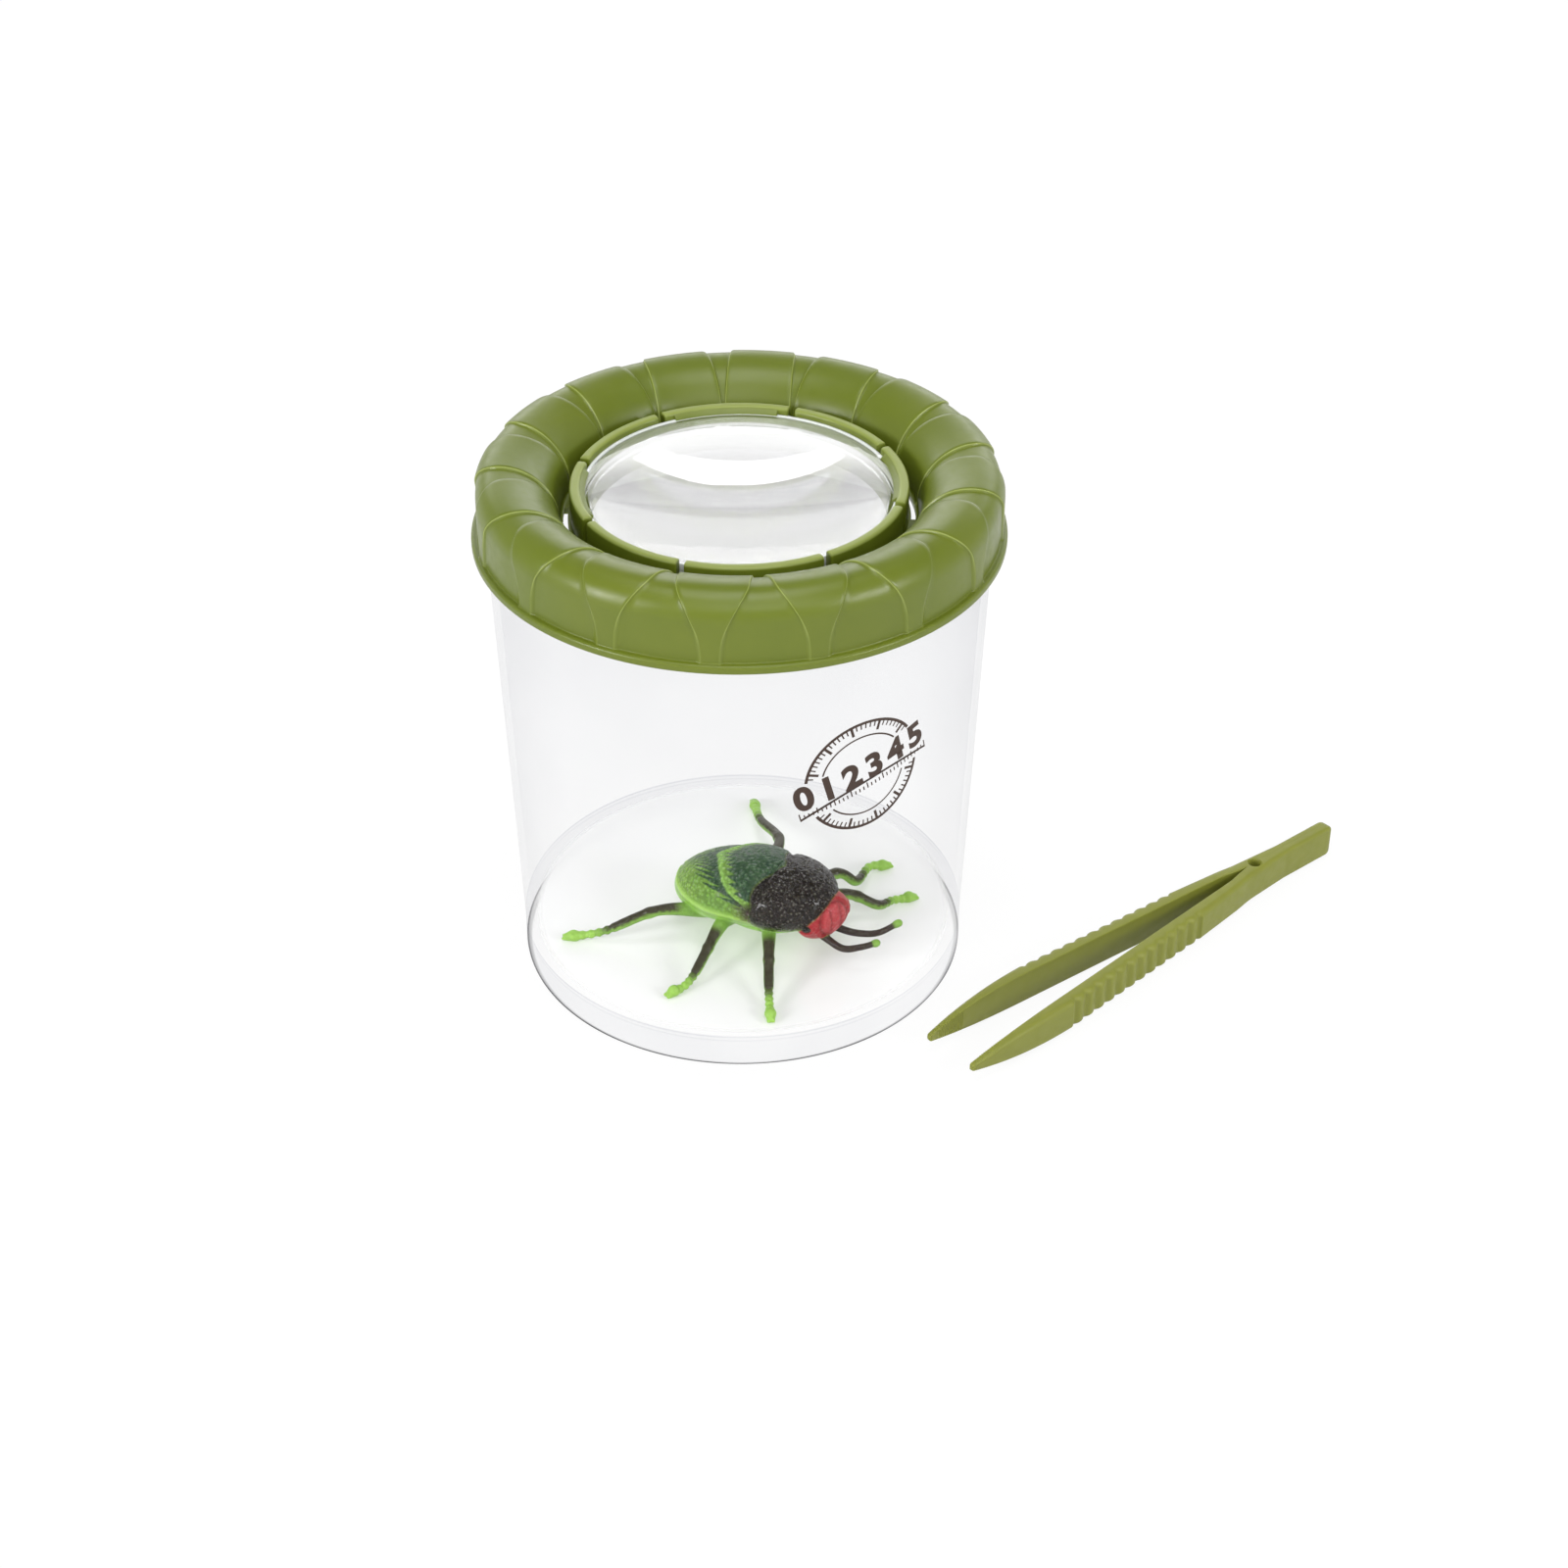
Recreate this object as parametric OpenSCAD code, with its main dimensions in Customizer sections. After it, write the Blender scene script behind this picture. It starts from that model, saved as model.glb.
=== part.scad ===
/* [Jar] */
// Width of the round foot
jar_foot_d = 101.8; // [92:0.2:106]
// Height of the straight band round the foot
jar_foot_h = 8.5; // [5:0.5:14]
// Width of the jar at its rim
jar_rim_d = 110.2; // [106:0.2:112.6]
// Height of the jar without its lid
jar_h = 116; // [80:1:180]
// Thickness of the jar's wall
jar_wall = 1.6; // [1.2:0.1:3]
// Height of the floor's upper face over the table
floor_z = 7.4; // [5:0.2:12]
// Thickness of the floor
floor_wall = 1.8; // [1.2:0.1:3]
// Rounding between the floor and the wall
floor_fillet = 1.4; // [0.6:0.2:3]
// Bevel on the edges of the foot and the rim
jar_bevel = 0.4; // [0.2:0.1:0.5]

/* [Lid] */
// How far the lid reaches down over the jar
lid_cover = 8.2; // [6:0.2:10]
// Height of the lid from its lip to its crest
lid_h = 17.1; // [15:0.1:22]
// Clearance of the lid round the jar's rim
lid_fit = 0.1; // [0.05:0.05:0.3]
// Thickness of the lid's wall
lid_wall = 1.2; // [0.8:0.1:1.4]
// How far the petals stand out of the crown
petal_raise = 0.5; // [0.3:0.1:0.8]
// How far the lip stands out from the petals
lip_out = 0.9; // [0.4:0.1:1.6]
// Height of the lip
lip_h = 2; // [1.2:0.2:3]
// Rounding of the crown's outer side
crown_outer_r = 6.2; // [5.4:0.1:7]
// Number of petals round the crown
petal_count = 16; // [12:1:16]
// Width of a petal on the crest
petal_w = 14.8; // [10:0.2:15]
// Width of a petal's strap at the lip
strap_w = 4.8; // [3:0.2:8]
// Turn of the lid on the jar
lid_turn = 5; // [0:0.5:44.5]
// Thickness of the trough's floor
trough_wall = 1.5; // [1:0.1:2.5]
// Depth of the trough inside the crown
trough_depth = 12.9; // [12:0.1:13.5]
// Gap between the crown and the fingers
trough_gap = 2.2; // [1.8:0.1:3]

/* [Lens holder] */
// Number of fingers round the lens
finger_count = 8; // [6:2:12]
// Thickness of a finger
finger_wall = 2.3; // [1.7:0.1:2.6]
// Height of the fingers over the trough's floor
finger_h = 8; // [7:0.1:9]
// Rounding along a finger's top
finger_round = 0.7; // [0.3:0.1:0.7]
// Gap between two fingers
slit_w = 1.5; // [1:0.1:3]
// How far a hook reaches over the lens
hook_reach = 1.1; // [0.6:0.1:1.6]
// Height of a hook from the lens to the finger's top
hook_h = 2.1; // [1.6:0.1:2.6]
// Height of a hook's catching edge
hook_edge = 0.7; // [0.4:0.1:0.8]
// Length left bare at each end of a finger that has a hook
hook_inset = 2.2; // [1:0.2:4]
// Width of the ring that the lens sits on
seat_wall = 1.4; // [1:0.1:2]
// Width of an air vent
vent_w = 1.1; // [0.8:0.1:1.3]
// Length of an air vent
vent_l = 13; // [6:0.5:16]

/* [Lens] */
// Width of the lens
lens_d = 68; // [66.6:0.2:69]
// Thickness of the lens at its rim
lens_rim = 2.6; // [2:0.1:3.4]
// Height of the upper dome
lens_dome = 5; // [3:0.1:6]
// Depth of the lower dome
lens_belly = 4; // [2:0.1:5]
// Width of the flat margin round the upper dome
lens_margin = 0.8; // [0.5:0.1:1]
// Clearance round the lens in its holder
lens_fit = 0.1; // [0.05:0.05:0.3]

/* [Toy beetle] */
// Length of the beetle from its head to its tail
beetle_l = 40; // [26:0.5:42]
// Width of the beetle's back
beetle_w = 21; // [16:0.5:24]
// Height of the beetle's back over the jar's floor
beetle_h = 22; // [16:0.5:26]
// Thickness of a leg at its thigh
thigh_d = 3.4; // [2:0.2:4.4]
// Thickness of a leg at its toes
toe_d = 1.9; // [1.4:0.1:2.6]
// Thickness of a feeler
feeler_d = 1.9; // [1.2:0.1:2.6]
// Place of the beetle across the jar
beetle_x = 2; // [-6:0.5:6]
// Place of the beetle towards the back
beetle_y = -11; // [-14:0.5:0]
// Direction that the beetle faces
beetle_turn = -31; // [-180:1:180]

/* [Tweezers] */
// Length of an arm from the fork to its tip
arm_l = 98; // [80:1:130]
// Length of the solid tail behind the fork
tail_l = 29; // [16:1:40]
// Height of the tweezers as they lie
tweezers_h = 8.3; // [6:0.1:11]
// Half width of the tweezers at the fork
arm_root_w = 3; // [2.4:0.1:4]
// Distance of an arm's outer face from the middle line when closed
arm_grip_w = 4.1; // [3.4:0.1:5]
// Thickness of an arm at its tip
arm_tip_w = 1.3; // [0.8:0.1:2]
// Height of an arm at its tip
arm_tip_h = 1.6; // [1:0.1:3]
// How far an arm's tip bends inwards
tip_bend = 1.5; // [0.8:0.1:2]
// Half width of the slit between the closed arms
slit_half_w = 0.7; // [0.4:0.1:1]
// Length over which the slit opens behind the fork
slit_run = 7; // [3:0.5:12]
// Width of the tail at its end
tail_end_w = 3.8; // [3.4:0.1:5.2]
// Length over which the tail narrows
tail_run = 12; // [6:1:14]
// Lean of the tail from the middle line of the arms
tail_lean = 1.4; // [0:0.2:2]
// Rounding of the tail's end
tail_corner_r = 1.6; // [0.6:0.1:1.6]
// Angle between an arm and the middle line at rest
arm_spread = 4.1; // [2:0.1:8]
// Number of grip ribs on an arm
rib_count = 12; // [4:1:12]
// Distance from one grip rib to the next
rib_pitch = 3.7; // [3.2:0.1:3.8]
// Depth of the valleys between the grip ribs
rib_depth = 0.7; // [0.3:0.1:1]
// Radius of a grip rib
rib_r = 1.3; // [1.1:0.1:1.4]
// Distance of the first grip rib from the fork
rib_start = 24.4; // [18:0.2:26]
// Number of fine teeth inside an arm's tip
tooth_count = 12; // [6:1:14]
// Distance from one fine tooth to the next
tooth_pitch = 0.6; // [0.5:0.1:0.8]
// Distance of the first fine tooth from the tip
tooth_start = 3; // [2:0.2:6]
// Depth of a groove between the fine teeth
tooth_depth = 0.2; // [0.1:0.05:0.25]
// Rounding of an arm's outer long edges
arm_edge_r = 1.6; // [1:0.1:2]
// Width of the hanging hole
hole_d = 2.9; // [2:0.1:3.2]
// Distance of the hanging hole from the fork
hole_x = 2.8; // [2.4:0.1:6]
// Clearance of an arm at the fork
fork_fit = 0.1; // [0.05:0.05:0.3]
// Place of the fork to the right of the jar's middle
tweezers_x = 120.4; // [110:0.2:180]
// Place of the fork towards the back
tweezers_y = 10.6; // [-40:0.2:60]
// Turn of the tweezers from the line that runs to the right
tweezers_turn = 40; // [20:0.5:60]

/* [Hidden] */
$fn = 96;
// Reach of every cut past the face that it opens
overrun = 1;

// Jar
foot_r = jar_foot_d / 2;
rim_r = jar_rim_d / 2;
arc_steps = 6;

// Lid
lid_z = jar_h - lid_cover;
crest_z = lid_z + lid_h;
skirt_r = rim_r + lid_fit;
petal_r = skirt_r + lid_wall + petal_raise;
lip_r = petal_r + lip_out;
crest_r = petal_r - crown_outer_r;
trough_z = crest_z - trough_depth;
petal_steps = 10;
petal_flare_share = 2.5;
stop_count = 8;
stop_w = 1.2;

// Lens holder and lens
lens_r = lens_d / 2;
holder_r = lens_r + lens_fit;
finger_r = holder_r + finger_wall;
trough_r = finger_r + trough_gap;
crown_inner_r = crest_r - trough_r;
finger_top_z = trough_z + finger_h;
finger_angle = 360 / finger_count;
lens_top_z = finger_top_z - hook_h;
lens_seat_z = lens_top_z - lens_rim;
seat_r = lens_r - seat_wall / 2;
vent_r = (finger_r + trough_r - vent_w) / 2;
dome_fn = 360;

// Toy beetle, as shares of its length, width and height from the middle of its body
beetle_fn = 32;
limb_fn = 12;
beetle_lift = 0.1;
back_share = [-0.076, 0, 0.55];
back_size_share = [0.42, 0.534, 0.355];
back_tilt = 14;
collar_share = [0.21, 0, 0.635];
collar_size_share = [0.33, 0.55, 0.35];
collar_tilt = 7;
collar_edge_share = 0.05;
collar_lean = 15;
head_share = [0.475, 0, 0.5];
head_size_share = [0.1, 0.31, 0.25];
head_tilt = -15;
head_turn = -17;
eye_share = [0.025, 0.298, 0];
eye_d_share = 0.05;
chest_share = [0.05, 0, 0.36];
chest_size_share = [0.32, 0.36, 0.2];
// Hip, knee, ankle and toe of each leg, the left side first
leg_shares = [
    [[0.3, 0.343, 0.364], [0.43, 0.724, 0.309], [0.57, 0.914, 0.145],
     [0.6, 1.162, 0.073], [0.68, 1.371, 0.036]],
    [[0.12, 0.381, 0.364], [0.27, 0.99, 0.309], [0.35, 1.181, 0.145],
     [0.33, 1.562, 0.091], [0.4, 1.752, 0.036]],
    [[-0.1, 0.343, 0.364], [-0.15, 1.105, 0.364], [-0.42, 1.562, 0.218], [-0.62, 2.057, 0.036]],
    [[0.2, -0.267, 0.327], [0.28, -0.533, 0.364], [0.42, -0.99, 0.109], [0.52, -1.276, 0.036]],
    [[-0.04, -0.305, 0.327], [-0.05, -0.533, 0.327], [-0.03, -1.181, 0.091], [-0.08, -1.467, 0.036]],
    [[-0.18, -0.267, 0.291], [-0.42, -0.648, 0.364], [-0.68, -0.99, 0.127], [-0.87, -1.181, 0.036]],
];
// Bends of each feeler from its root to its tip
feeler_shares = [
    [[0.5, 0.114, 0.327], [0.62, 0.19, 0.273], [0.75, 0.267, 0.309], [0.83, 0.476, 0.364]],
    [[0.5, -0.076, 0.309], [0.63, -0.095, 0.255], [0.72, 0, 0.273], [0.78, 0.152, 0.273]],
];

// Tweezers
blade_steps = 10;
blade_curve = 2.2;
edge_margin = 0.3;
grip_lead_share = 0.75;
blade_lead_share = 0.25;
grip_start = rib_start - rib_pitch * grip_lead_share;
blade_start = rib_start + (rib_count - blade_lead_share) * rib_pitch;
arm_start = fork_fit + (arm_root_w + fork_fit) * sin(arm_spread);

function arc(x, y, r, from, to) =
    [for (i = [0 : arc_steps]) let (a = from + (to - from) * i / arc_steps) [x + r * cos(a), y + r * sin(a)]];

// The jar's wall, floor and foot in one turned outline
module jar() {
    inner_r = foot_r - jar_wall;
    outline = concat(
        [
            [inner_r + jar_bevel, 0],
            [foot_r - jar_bevel, 0],
            [foot_r, jar_bevel],
            [foot_r, jar_foot_h],
            [rim_r, jar_h - jar_bevel],
            [rim_r - jar_bevel, jar_h],
            [rim_r - jar_wall + jar_bevel, jar_h],
            [rim_r - jar_wall, jar_h - jar_bevel],
        ],
        arc(inner_r - floor_fillet, floor_z + floor_fillet, floor_fillet, 0, -90),
        [
            [0, floor_z],
            [0, floor_z - floor_wall],
            [inner_r, floor_z - floor_wall],
            [inner_r, jar_bevel],
        ]
    );
    color([0.93, 0.94, 0.96, 0.35])
        rotate_extrude() polygon(outline);
}

// Section of the crown, drawn in by an inset, down to a height on its outer and inner side
module crown_section(inset, outer_foot_z, inner_foot_z) {
    outer_z = crest_z - crown_outer_r;
    inner_z = crest_z - crown_inner_r;
    intersection() {
        translate([crest_r, outer_z]) circle(r = crown_outer_r - inset);
        translate([crest_r, outer_z]) square(crown_outer_r);
    }
    intersection() {
        translate([crest_r, inner_z]) circle(r = crown_inner_r - inset);
        translate([crest_r - crown_inner_r, inner_z]) square(crown_inner_r);
    }
    translate([crest_r, outer_foot_z])
        square([crown_outer_r - inset, outer_z - outer_foot_z]);
    translate([trough_r + inset, inner_foot_z])
        square([crown_inner_r - inset, inner_z - inner_foot_z]);
}

// Turned shell of the lid: crown, lip, trough floor and the ring under the lens
module lid_shell() {
    under_z = trough_z - trough_wall;
    rotate_extrude() {
        difference() {
            union() {
                crown_section(petal_raise, lid_z, under_z);
                translate([skirt_r, lid_z]) square([lip_r - skirt_r, lip_h]);
            }
            crown_section(petal_raise + lid_wall, lid_z - overrun, lid_z - overrun);
        }
        translate([seat_r - seat_wall, under_z])
            square([trough_r + petal_raise + lid_wall / 2 - seat_r + seat_wall, trough_wall]);
        translate([seat_r - seat_wall, under_z])
            square([seat_wall, lens_seat_z - under_z]);
    }
}

// Front outline of one petal: a narrow strap that flares up to the full width at the crest
function petal_half(share) = strap_w / 2 + (petal_w - strap_w) / 2 * pow(share, petal_flare_share);

module petal_outline() {
    foot_z = lid_z + lip_h;
    rise = crest_z - foot_z;
    right = [for (i = [0 : petal_steps]) [petal_half(i / petal_steps), foot_z + rise * i / petal_steps]];
    left = [for (i = [petal_steps : -1 : 0]) [-petal_half(i / petal_steps), foot_z + rise * i / petal_steps]];
    polygon(concat(
        [[strap_w / 2, lid_z + lip_h / 2]],
        right,
        [[petal_w / 2, crest_z + overrun], [-petal_w / 2, crest_z + overrun]],
        left,
        [[-strap_w / 2, lid_z + lip_h / 2]]
    ));
}

// Petals raised over the crown, with straight flanks across the crest and into the trough
module petals() {
    intersection() {
        rotate_extrude() difference() {
            crown_section(0, lid_z + lip_h / 2, trough_z - trough_wall / 2);
            crown_section(petal_raise + lid_wall / 2, lid_z - overrun, lid_z - overrun);
        }
        for (i = [0 : petal_count - 1])
            rotate([0, 0, (i + 0.5) * 360 / petal_count]) {
                translate([crest_r, 0, 0])
                    rotate([90, 0, 90]) linear_extrude(petal_r - crest_r + overrun) petal_outline();
                translate([trough_r - overrun, -petal_w / 2, trough_z - trough_wall])
                    cube([crown_inner_r + overrun, petal_w, trough_depth + trough_wall + overrun]);
            }
    }
}

// Ring of upright fingers, parted by slits, that springs over the lens
module fingers() {
    root_z = trough_z - trough_wall / 2;
    slit_z = trough_z + finger_round;
    difference() {
        rotate_extrude() translate([holder_r, root_z]) {
            square([finger_wall, finger_top_z - root_z - finger_round]);
            translate([finger_round, 0]) square([finger_wall - finger_round * 2, finger_top_z - root_z]);
            for (x = [finger_round, finger_wall - finger_round])
                translate([x, finger_top_z - root_z - finger_round]) circle(r = finger_round);
        }
        for (i = [0 : finger_count - 1])
            rotate([0, 0, (i + 0.5) * finger_angle])
                translate([holder_r - overrun, -slit_w / 2, slit_z])
                    cube([finger_wall + overrun * 2, slit_w, finger_h]);
    }
}

// Hooks on every second finger, with a sloped top that the lens is pushed past
module hooks() {
    sweep = finger_angle - (slit_w + hook_inset * 2) / holder_r * 180 / PI;
    for (i = [0 : 2 : finger_count - 1])
        rotate([0, 0, i * finger_angle - sweep / 2])
            rotate_extrude(angle = sweep) polygon([
                [holder_r + finger_wall / 2, lens_top_z + lens_fit],
                [holder_r - hook_reach, lens_top_z + lens_fit],
                [holder_r - hook_reach, lens_top_z + lens_fit + hook_edge],
                [holder_r, finger_top_z - finger_round],
                [holder_r + finger_wall / 2, finger_top_z - finger_round],
            ]);
}

// Air vents through the trough's floor, one behind each finger
module vents() {
    sweep = vent_l / vent_r * 180 / PI;
    for (i = [0 : finger_count - 1])
        rotate([0, 0, i * finger_angle - sweep / 2])
            rotate_extrude(angle = sweep)
                translate([vent_r, trough_z - trough_wall - overrun])
                    square([vent_w, trough_wall + overrun * 2]);
}

// Ribs under the crown that rest on the jar's rim
module stops() {
    intersection() {
        rotate_extrude() crown_section(petal_raise + lid_wall / 2, jar_h, jar_h);
        for (i = [0 : stop_count - 1])
            rotate([0, 0, (i + 0.5) * 360 / stop_count])
                translate([trough_r, -stop_w / 2, jar_h]) cube([petal_r - trough_r, stop_w, crest_z - jar_h]);
    }
}

module lid() {
    color([0.47, 0.55, 0.2])
        rotate([0, 0, lid_turn]) {
            difference() {
                lid_shell();
                vents();
            }
            petals();
            fingers();
            hooks();
            stops();
        }
}

// Lens with a rim that sits in the holder and a dome on each face
module magnifier_lens() {
    dome_base_r = lens_r - lens_margin;
    belly_base_r = seat_r - seat_wall;
    dome_r = (pow(dome_base_r, 2) + pow(lens_dome, 2)) / (2 * lens_dome);
    belly_r = (pow(belly_base_r, 2) + pow(lens_belly, 2)) / (2 * lens_belly);
    color([0.95, 0.97, 0.98, 0.3]) rotate_extrude() {
        translate([0, lens_seat_z]) square([lens_r, lens_rim]);
        intersection() {
            translate([0, lens_top_z + lens_dome - dome_r]) circle(r = dome_r, $fn = dome_fn);
            translate([0, lens_seat_z]) square([dome_base_r, lens_rim + lens_dome]);
        }
        intersection() {
            translate([0, lens_seat_z - lens_belly + belly_r]) circle(r = belly_r, $fn = dome_fn);
            translate([0, lens_seat_z - lens_belly]) square([belly_base_r, lens_belly + lens_rim]);
        }
    }
}

// One rounded swelling of the beetle's body, from its place and its half sizes as shares
module swelling(place, size, tilt = 0) {
    translate([place[0] * beetle_l, place[1] * beetle_w, place[2] * beetle_h])
        rotate([0, -tilt, 0])
            scale([size[0] * beetle_l, size[1] * beetle_w, size[2] * beetle_h])
                sphere(r = 1, $fn = beetle_fn);
}

// Collar behind the head, cut off by a plane that leans forward
module beetle_collar() {
    intersection() {
        swelling(collar_share, collar_size_share, collar_tilt);
        translate([collar_edge_share * beetle_l, -beetle_w, 0])
            rotate([0, collar_lean, 0]) cube([beetle_l, beetle_w * 2, beetle_h * 2]);
    }
}

// A limb through its bends, thinning from its root to its tip
module limb(bends, root_d, tip_d) {
    steps = len(bends) - 1;
    for (i = [0 : steps - 1])
        hull() for (j = [i, i + 1])
            translate([bends[j][0] * beetle_l, bends[j][1] * beetle_w, bends[j][2] * beetle_h])
                sphere(d = root_d + (tip_d - root_d) * j / steps, $fn = limb_fn);
}

// Head turned a little aside, with an eye at each side of it
module beetle_head() {
    translate([head_share[0] * beetle_l, head_share[1] * beetle_w, head_share[2] * beetle_h])
        rotate([0, 0, head_turn]) {
            swelling([0, 0, 0], head_size_share, head_tilt);
            for (side = [-1, 1])
                translate([eye_share[0] * beetle_l, side * eye_share[1] * beetle_w, eye_share[2] * beetle_h])
                    sphere(d = eye_d_share * beetle_l, $fn = limb_fn);
        }
}

module toy_beetle() {
    color([0.35, 0.62, 0.2])
        translate([beetle_x, beetle_y, floor_z + beetle_lift]) rotate([0, 0, beetle_turn])
            intersection() {
                union() {
                    swelling(back_share, back_size_share, back_tilt);
                    beetle_collar();
                    beetle_head();
                    swelling(chest_share, chest_size_share);
                    for (leg = leg_shares) limb(leg, thigh_d, toe_d);
                    for (feeler = feeler_shares) limb(feeler, feeler_d, feeler_d);
                }
                translate([-beetle_l * 2, -beetle_l * 2, 0]) cube([beetle_l * 4, beetle_l * 4, beetle_h * 2]);
            }
}

module place_tweezers() {
    translate([tweezers_x, tweezers_y, 0]) rotate([0, 0, tweezers_turn]) children();
}

// Solid tail that joins the two arms, with its hanging hole beside the fork
module tweezers_tail() {
    straight = tail_l - tail_corner_r;
    half_w = tail_end_w / 2;
    corner_y = half_w - tail_corner_r;
    front_w = arm_root_w + (arm_root_w - half_w) * overrun / tail_run;
    side_w = arm_root_w + overrun;
    color([0.6, 0.64, 0.24]) place_tweezers() difference() {
        intersection() {
            rotate([0, 0, -tail_lean]) intersection() {
                linear_extrude(tweezers_h) {
                    polygon([
                        [-overrun, -front_w], [tail_run, -half_w], [straight, -half_w],
                        [straight, half_w], [tail_run, half_w], [-overrun, front_w],
                    ]);
                    translate([straight, -corner_y]) square([tail_corner_r, corner_y * 2]);
                    for (y = [-corner_y, corner_y]) translate([straight, y]) circle(r = tail_corner_r);
                }
                translate([0, side_w, 0]) rotate([90, 0, 0]) linear_extrude(side_w * 2) {
                    translate([-overrun, 0]) square([straight + overrun, tweezers_h]);
                    translate([0, tail_corner_r]) square([tail_l, tweezers_h - tail_corner_r * 2]);
                    for (z = [tail_corner_r, tweezers_h - tail_corner_r])
                        translate([straight, z]) circle(r = tail_corner_r);
                }
            }
            translate([0, -tail_l, -overrun]) cube([tail_l * 2, tail_l * 2, tweezers_h + overrun * 2]);
        }
        translate([hole_x, 0, -overrun]) cylinder(d = hole_d, h = tweezers_h + overrun * 2);
    }
}

// Share of the blade that lies before a place, and the blade's inner face, thickness and half height there
function blade_share(x) = (x - blade_start) / (arm_l - blade_start);
function blade_in(x) = slit_half_w - tip_bend * pow(blade_share(x), 2);
function blade_w(x) = arm_grip_w - slit_half_w - (arm_grip_w - slit_half_w - arm_tip_w) * blade_share(x);
function blade_half_h(x) = (tweezers_h - (tweezers_h - arm_tip_h) * pow(blade_share(x), blade_curve)) / 2;

// Plan of one arm from its inner face at the fork, round the tip and back over the grip
module arm_plan(stations, back_stations) {
    inner = [for (x = stations) [x, blade_in(x)]];
    outer = [for (x = back_stations) [x, blade_in(x) + blade_w(x)]];
    valley_w = arm_grip_w - rib_depth;
    polygon(concat(
        [[arm_start, 0], [arm_start + slit_run, slit_half_w]],
        inner,
        outer,
        [[blade_start, valley_w], [grip_start, valley_w], [grip_start, arm_grip_w], [arm_start, arm_root_w]]
    ));
    translate([arm_l, blade_in(arm_l) + arm_tip_w / 2]) circle(d = arm_tip_w);
}

// Section of an arm with its two outer long edges rounded, drawn a little wider than the grip
module arm_section(reach) {
    edge_y = arm_grip_w + edge_margin - arm_edge_r;
    translate([-reach, 0]) square([reach + edge_y, tweezers_h]);
    translate([-reach, arm_edge_r]) square([reach + edge_y + arm_edge_r, tweezers_h - arm_edge_r * 2]);
    for (z = [arm_edge_r, tweezers_h - arm_edge_r]) translate([edge_y, z]) circle(r = arm_edge_r);
}

// One arm lying along +X, with its inner face towards the middle line
module arm() {
    middle_z = tweezers_h / 2;
    plan_reach = arm_grip_w + tip_bend + overrun;
    tooth_side = tooth_depth * sqrt(2);
    stations = [for (i = [0 : blade_steps]) blade_start + (arm_l - blade_start) * i / blade_steps];
    back_stations = [for (i = [blade_steps : -1 : 0]) stations[i]];
    lower = [for (x = stations) [x, middle_z - blade_half_h(x)]];
    upper = [for (x = back_stations) [x, middle_z + blade_half_h(x)]];
    difference() {
        intersection() {
            union() {
                linear_extrude(tweezers_h) arm_plan(stations, back_stations);
                for (i = [0 : rib_count - 1])
                    translate([rib_start + i * rib_pitch, arm_grip_w - rib_r, 0])
                        cylinder(r = rib_r, h = tweezers_h);
            }
            translate([0, plan_reach, 0]) rotate([90, 0, 0]) linear_extrude(plan_reach * 2) {
                polygon(concat([[0, 0]], lower, upper, [[0, tweezers_h]]));
                translate([arm_l, middle_z]) circle(d = arm_tip_h);
            }
            rotate([90, 0, 90]) linear_extrude(arm_l + overrun) arm_section(plan_reach);
        }
        for (i = [0 : tooth_count - 1]) {
            x = arm_l - tooth_start - i * tooth_pitch;
            translate([x, blade_in(x), -overrun])
                rotate([0, 0, 45]) translate([-tooth_side / 2, -tooth_side / 2, 0])
                    cube([tooth_side, tooth_side, tweezers_h + overrun * 2]);
        }
    }
}

module spread_arm() {
    rotate([0, 0, -arm_spread]) translate([0, fork_fit, 0]) mirror([1, 0, 0]) arm();
}

module tweezers_far_arm() {
    color([0.6, 0.64, 0.24]) place_tweezers() spread_arm();
}

module tweezers_near_arm() {
    color([0.6, 0.64, 0.24]) place_tweezers() mirror([0, 1, 0]) spread_arm();
}

jar();
lid();
magnifier_lens();
toy_beetle();
tweezers_tail();
tweezers_far_arm();
tweezers_near_arm();
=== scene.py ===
import itertools
from math import acos, asin, atan2, cos, degrees, exp, pi, radians, sin, sqrt, tan

import bmesh
import bpy
import numpy as np
from mathutils import Matrix, Vector


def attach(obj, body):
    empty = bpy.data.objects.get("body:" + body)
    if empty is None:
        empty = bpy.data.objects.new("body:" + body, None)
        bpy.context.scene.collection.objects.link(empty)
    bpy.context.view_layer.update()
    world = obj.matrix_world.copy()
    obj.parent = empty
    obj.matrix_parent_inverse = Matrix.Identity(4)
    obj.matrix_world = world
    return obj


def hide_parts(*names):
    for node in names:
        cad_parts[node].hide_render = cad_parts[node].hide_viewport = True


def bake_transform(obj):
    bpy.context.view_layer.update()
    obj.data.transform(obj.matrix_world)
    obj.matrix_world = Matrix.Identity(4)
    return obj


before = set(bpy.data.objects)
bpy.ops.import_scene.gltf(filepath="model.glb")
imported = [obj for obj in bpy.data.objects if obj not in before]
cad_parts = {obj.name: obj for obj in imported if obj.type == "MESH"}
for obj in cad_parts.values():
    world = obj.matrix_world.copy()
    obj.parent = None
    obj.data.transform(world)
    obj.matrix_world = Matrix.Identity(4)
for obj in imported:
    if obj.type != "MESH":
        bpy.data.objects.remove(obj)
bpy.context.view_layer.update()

MM = 0.001
SCENE = bpy.context.scene


# Helpers

def linear(red, green, blue, alpha=1.0):
    """Linear colour of a colour as it looks, given from 0 to 255"""
    shares = [c / 255 for c in (red, green, blue)]
    return tuple(s / 12.92 if s <= 0.04045 else ((s + 0.055) / 1.055) ** 2.4 for s in shares) + (alpha,)


def smooth(low, high, value):
    """Smooth step from 0 at low to 1 at high"""
    share = np.clip((np.asarray(value, float) - low) / (high - low), 0, 1)
    return share * share * (3 - 2 * share)


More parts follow.
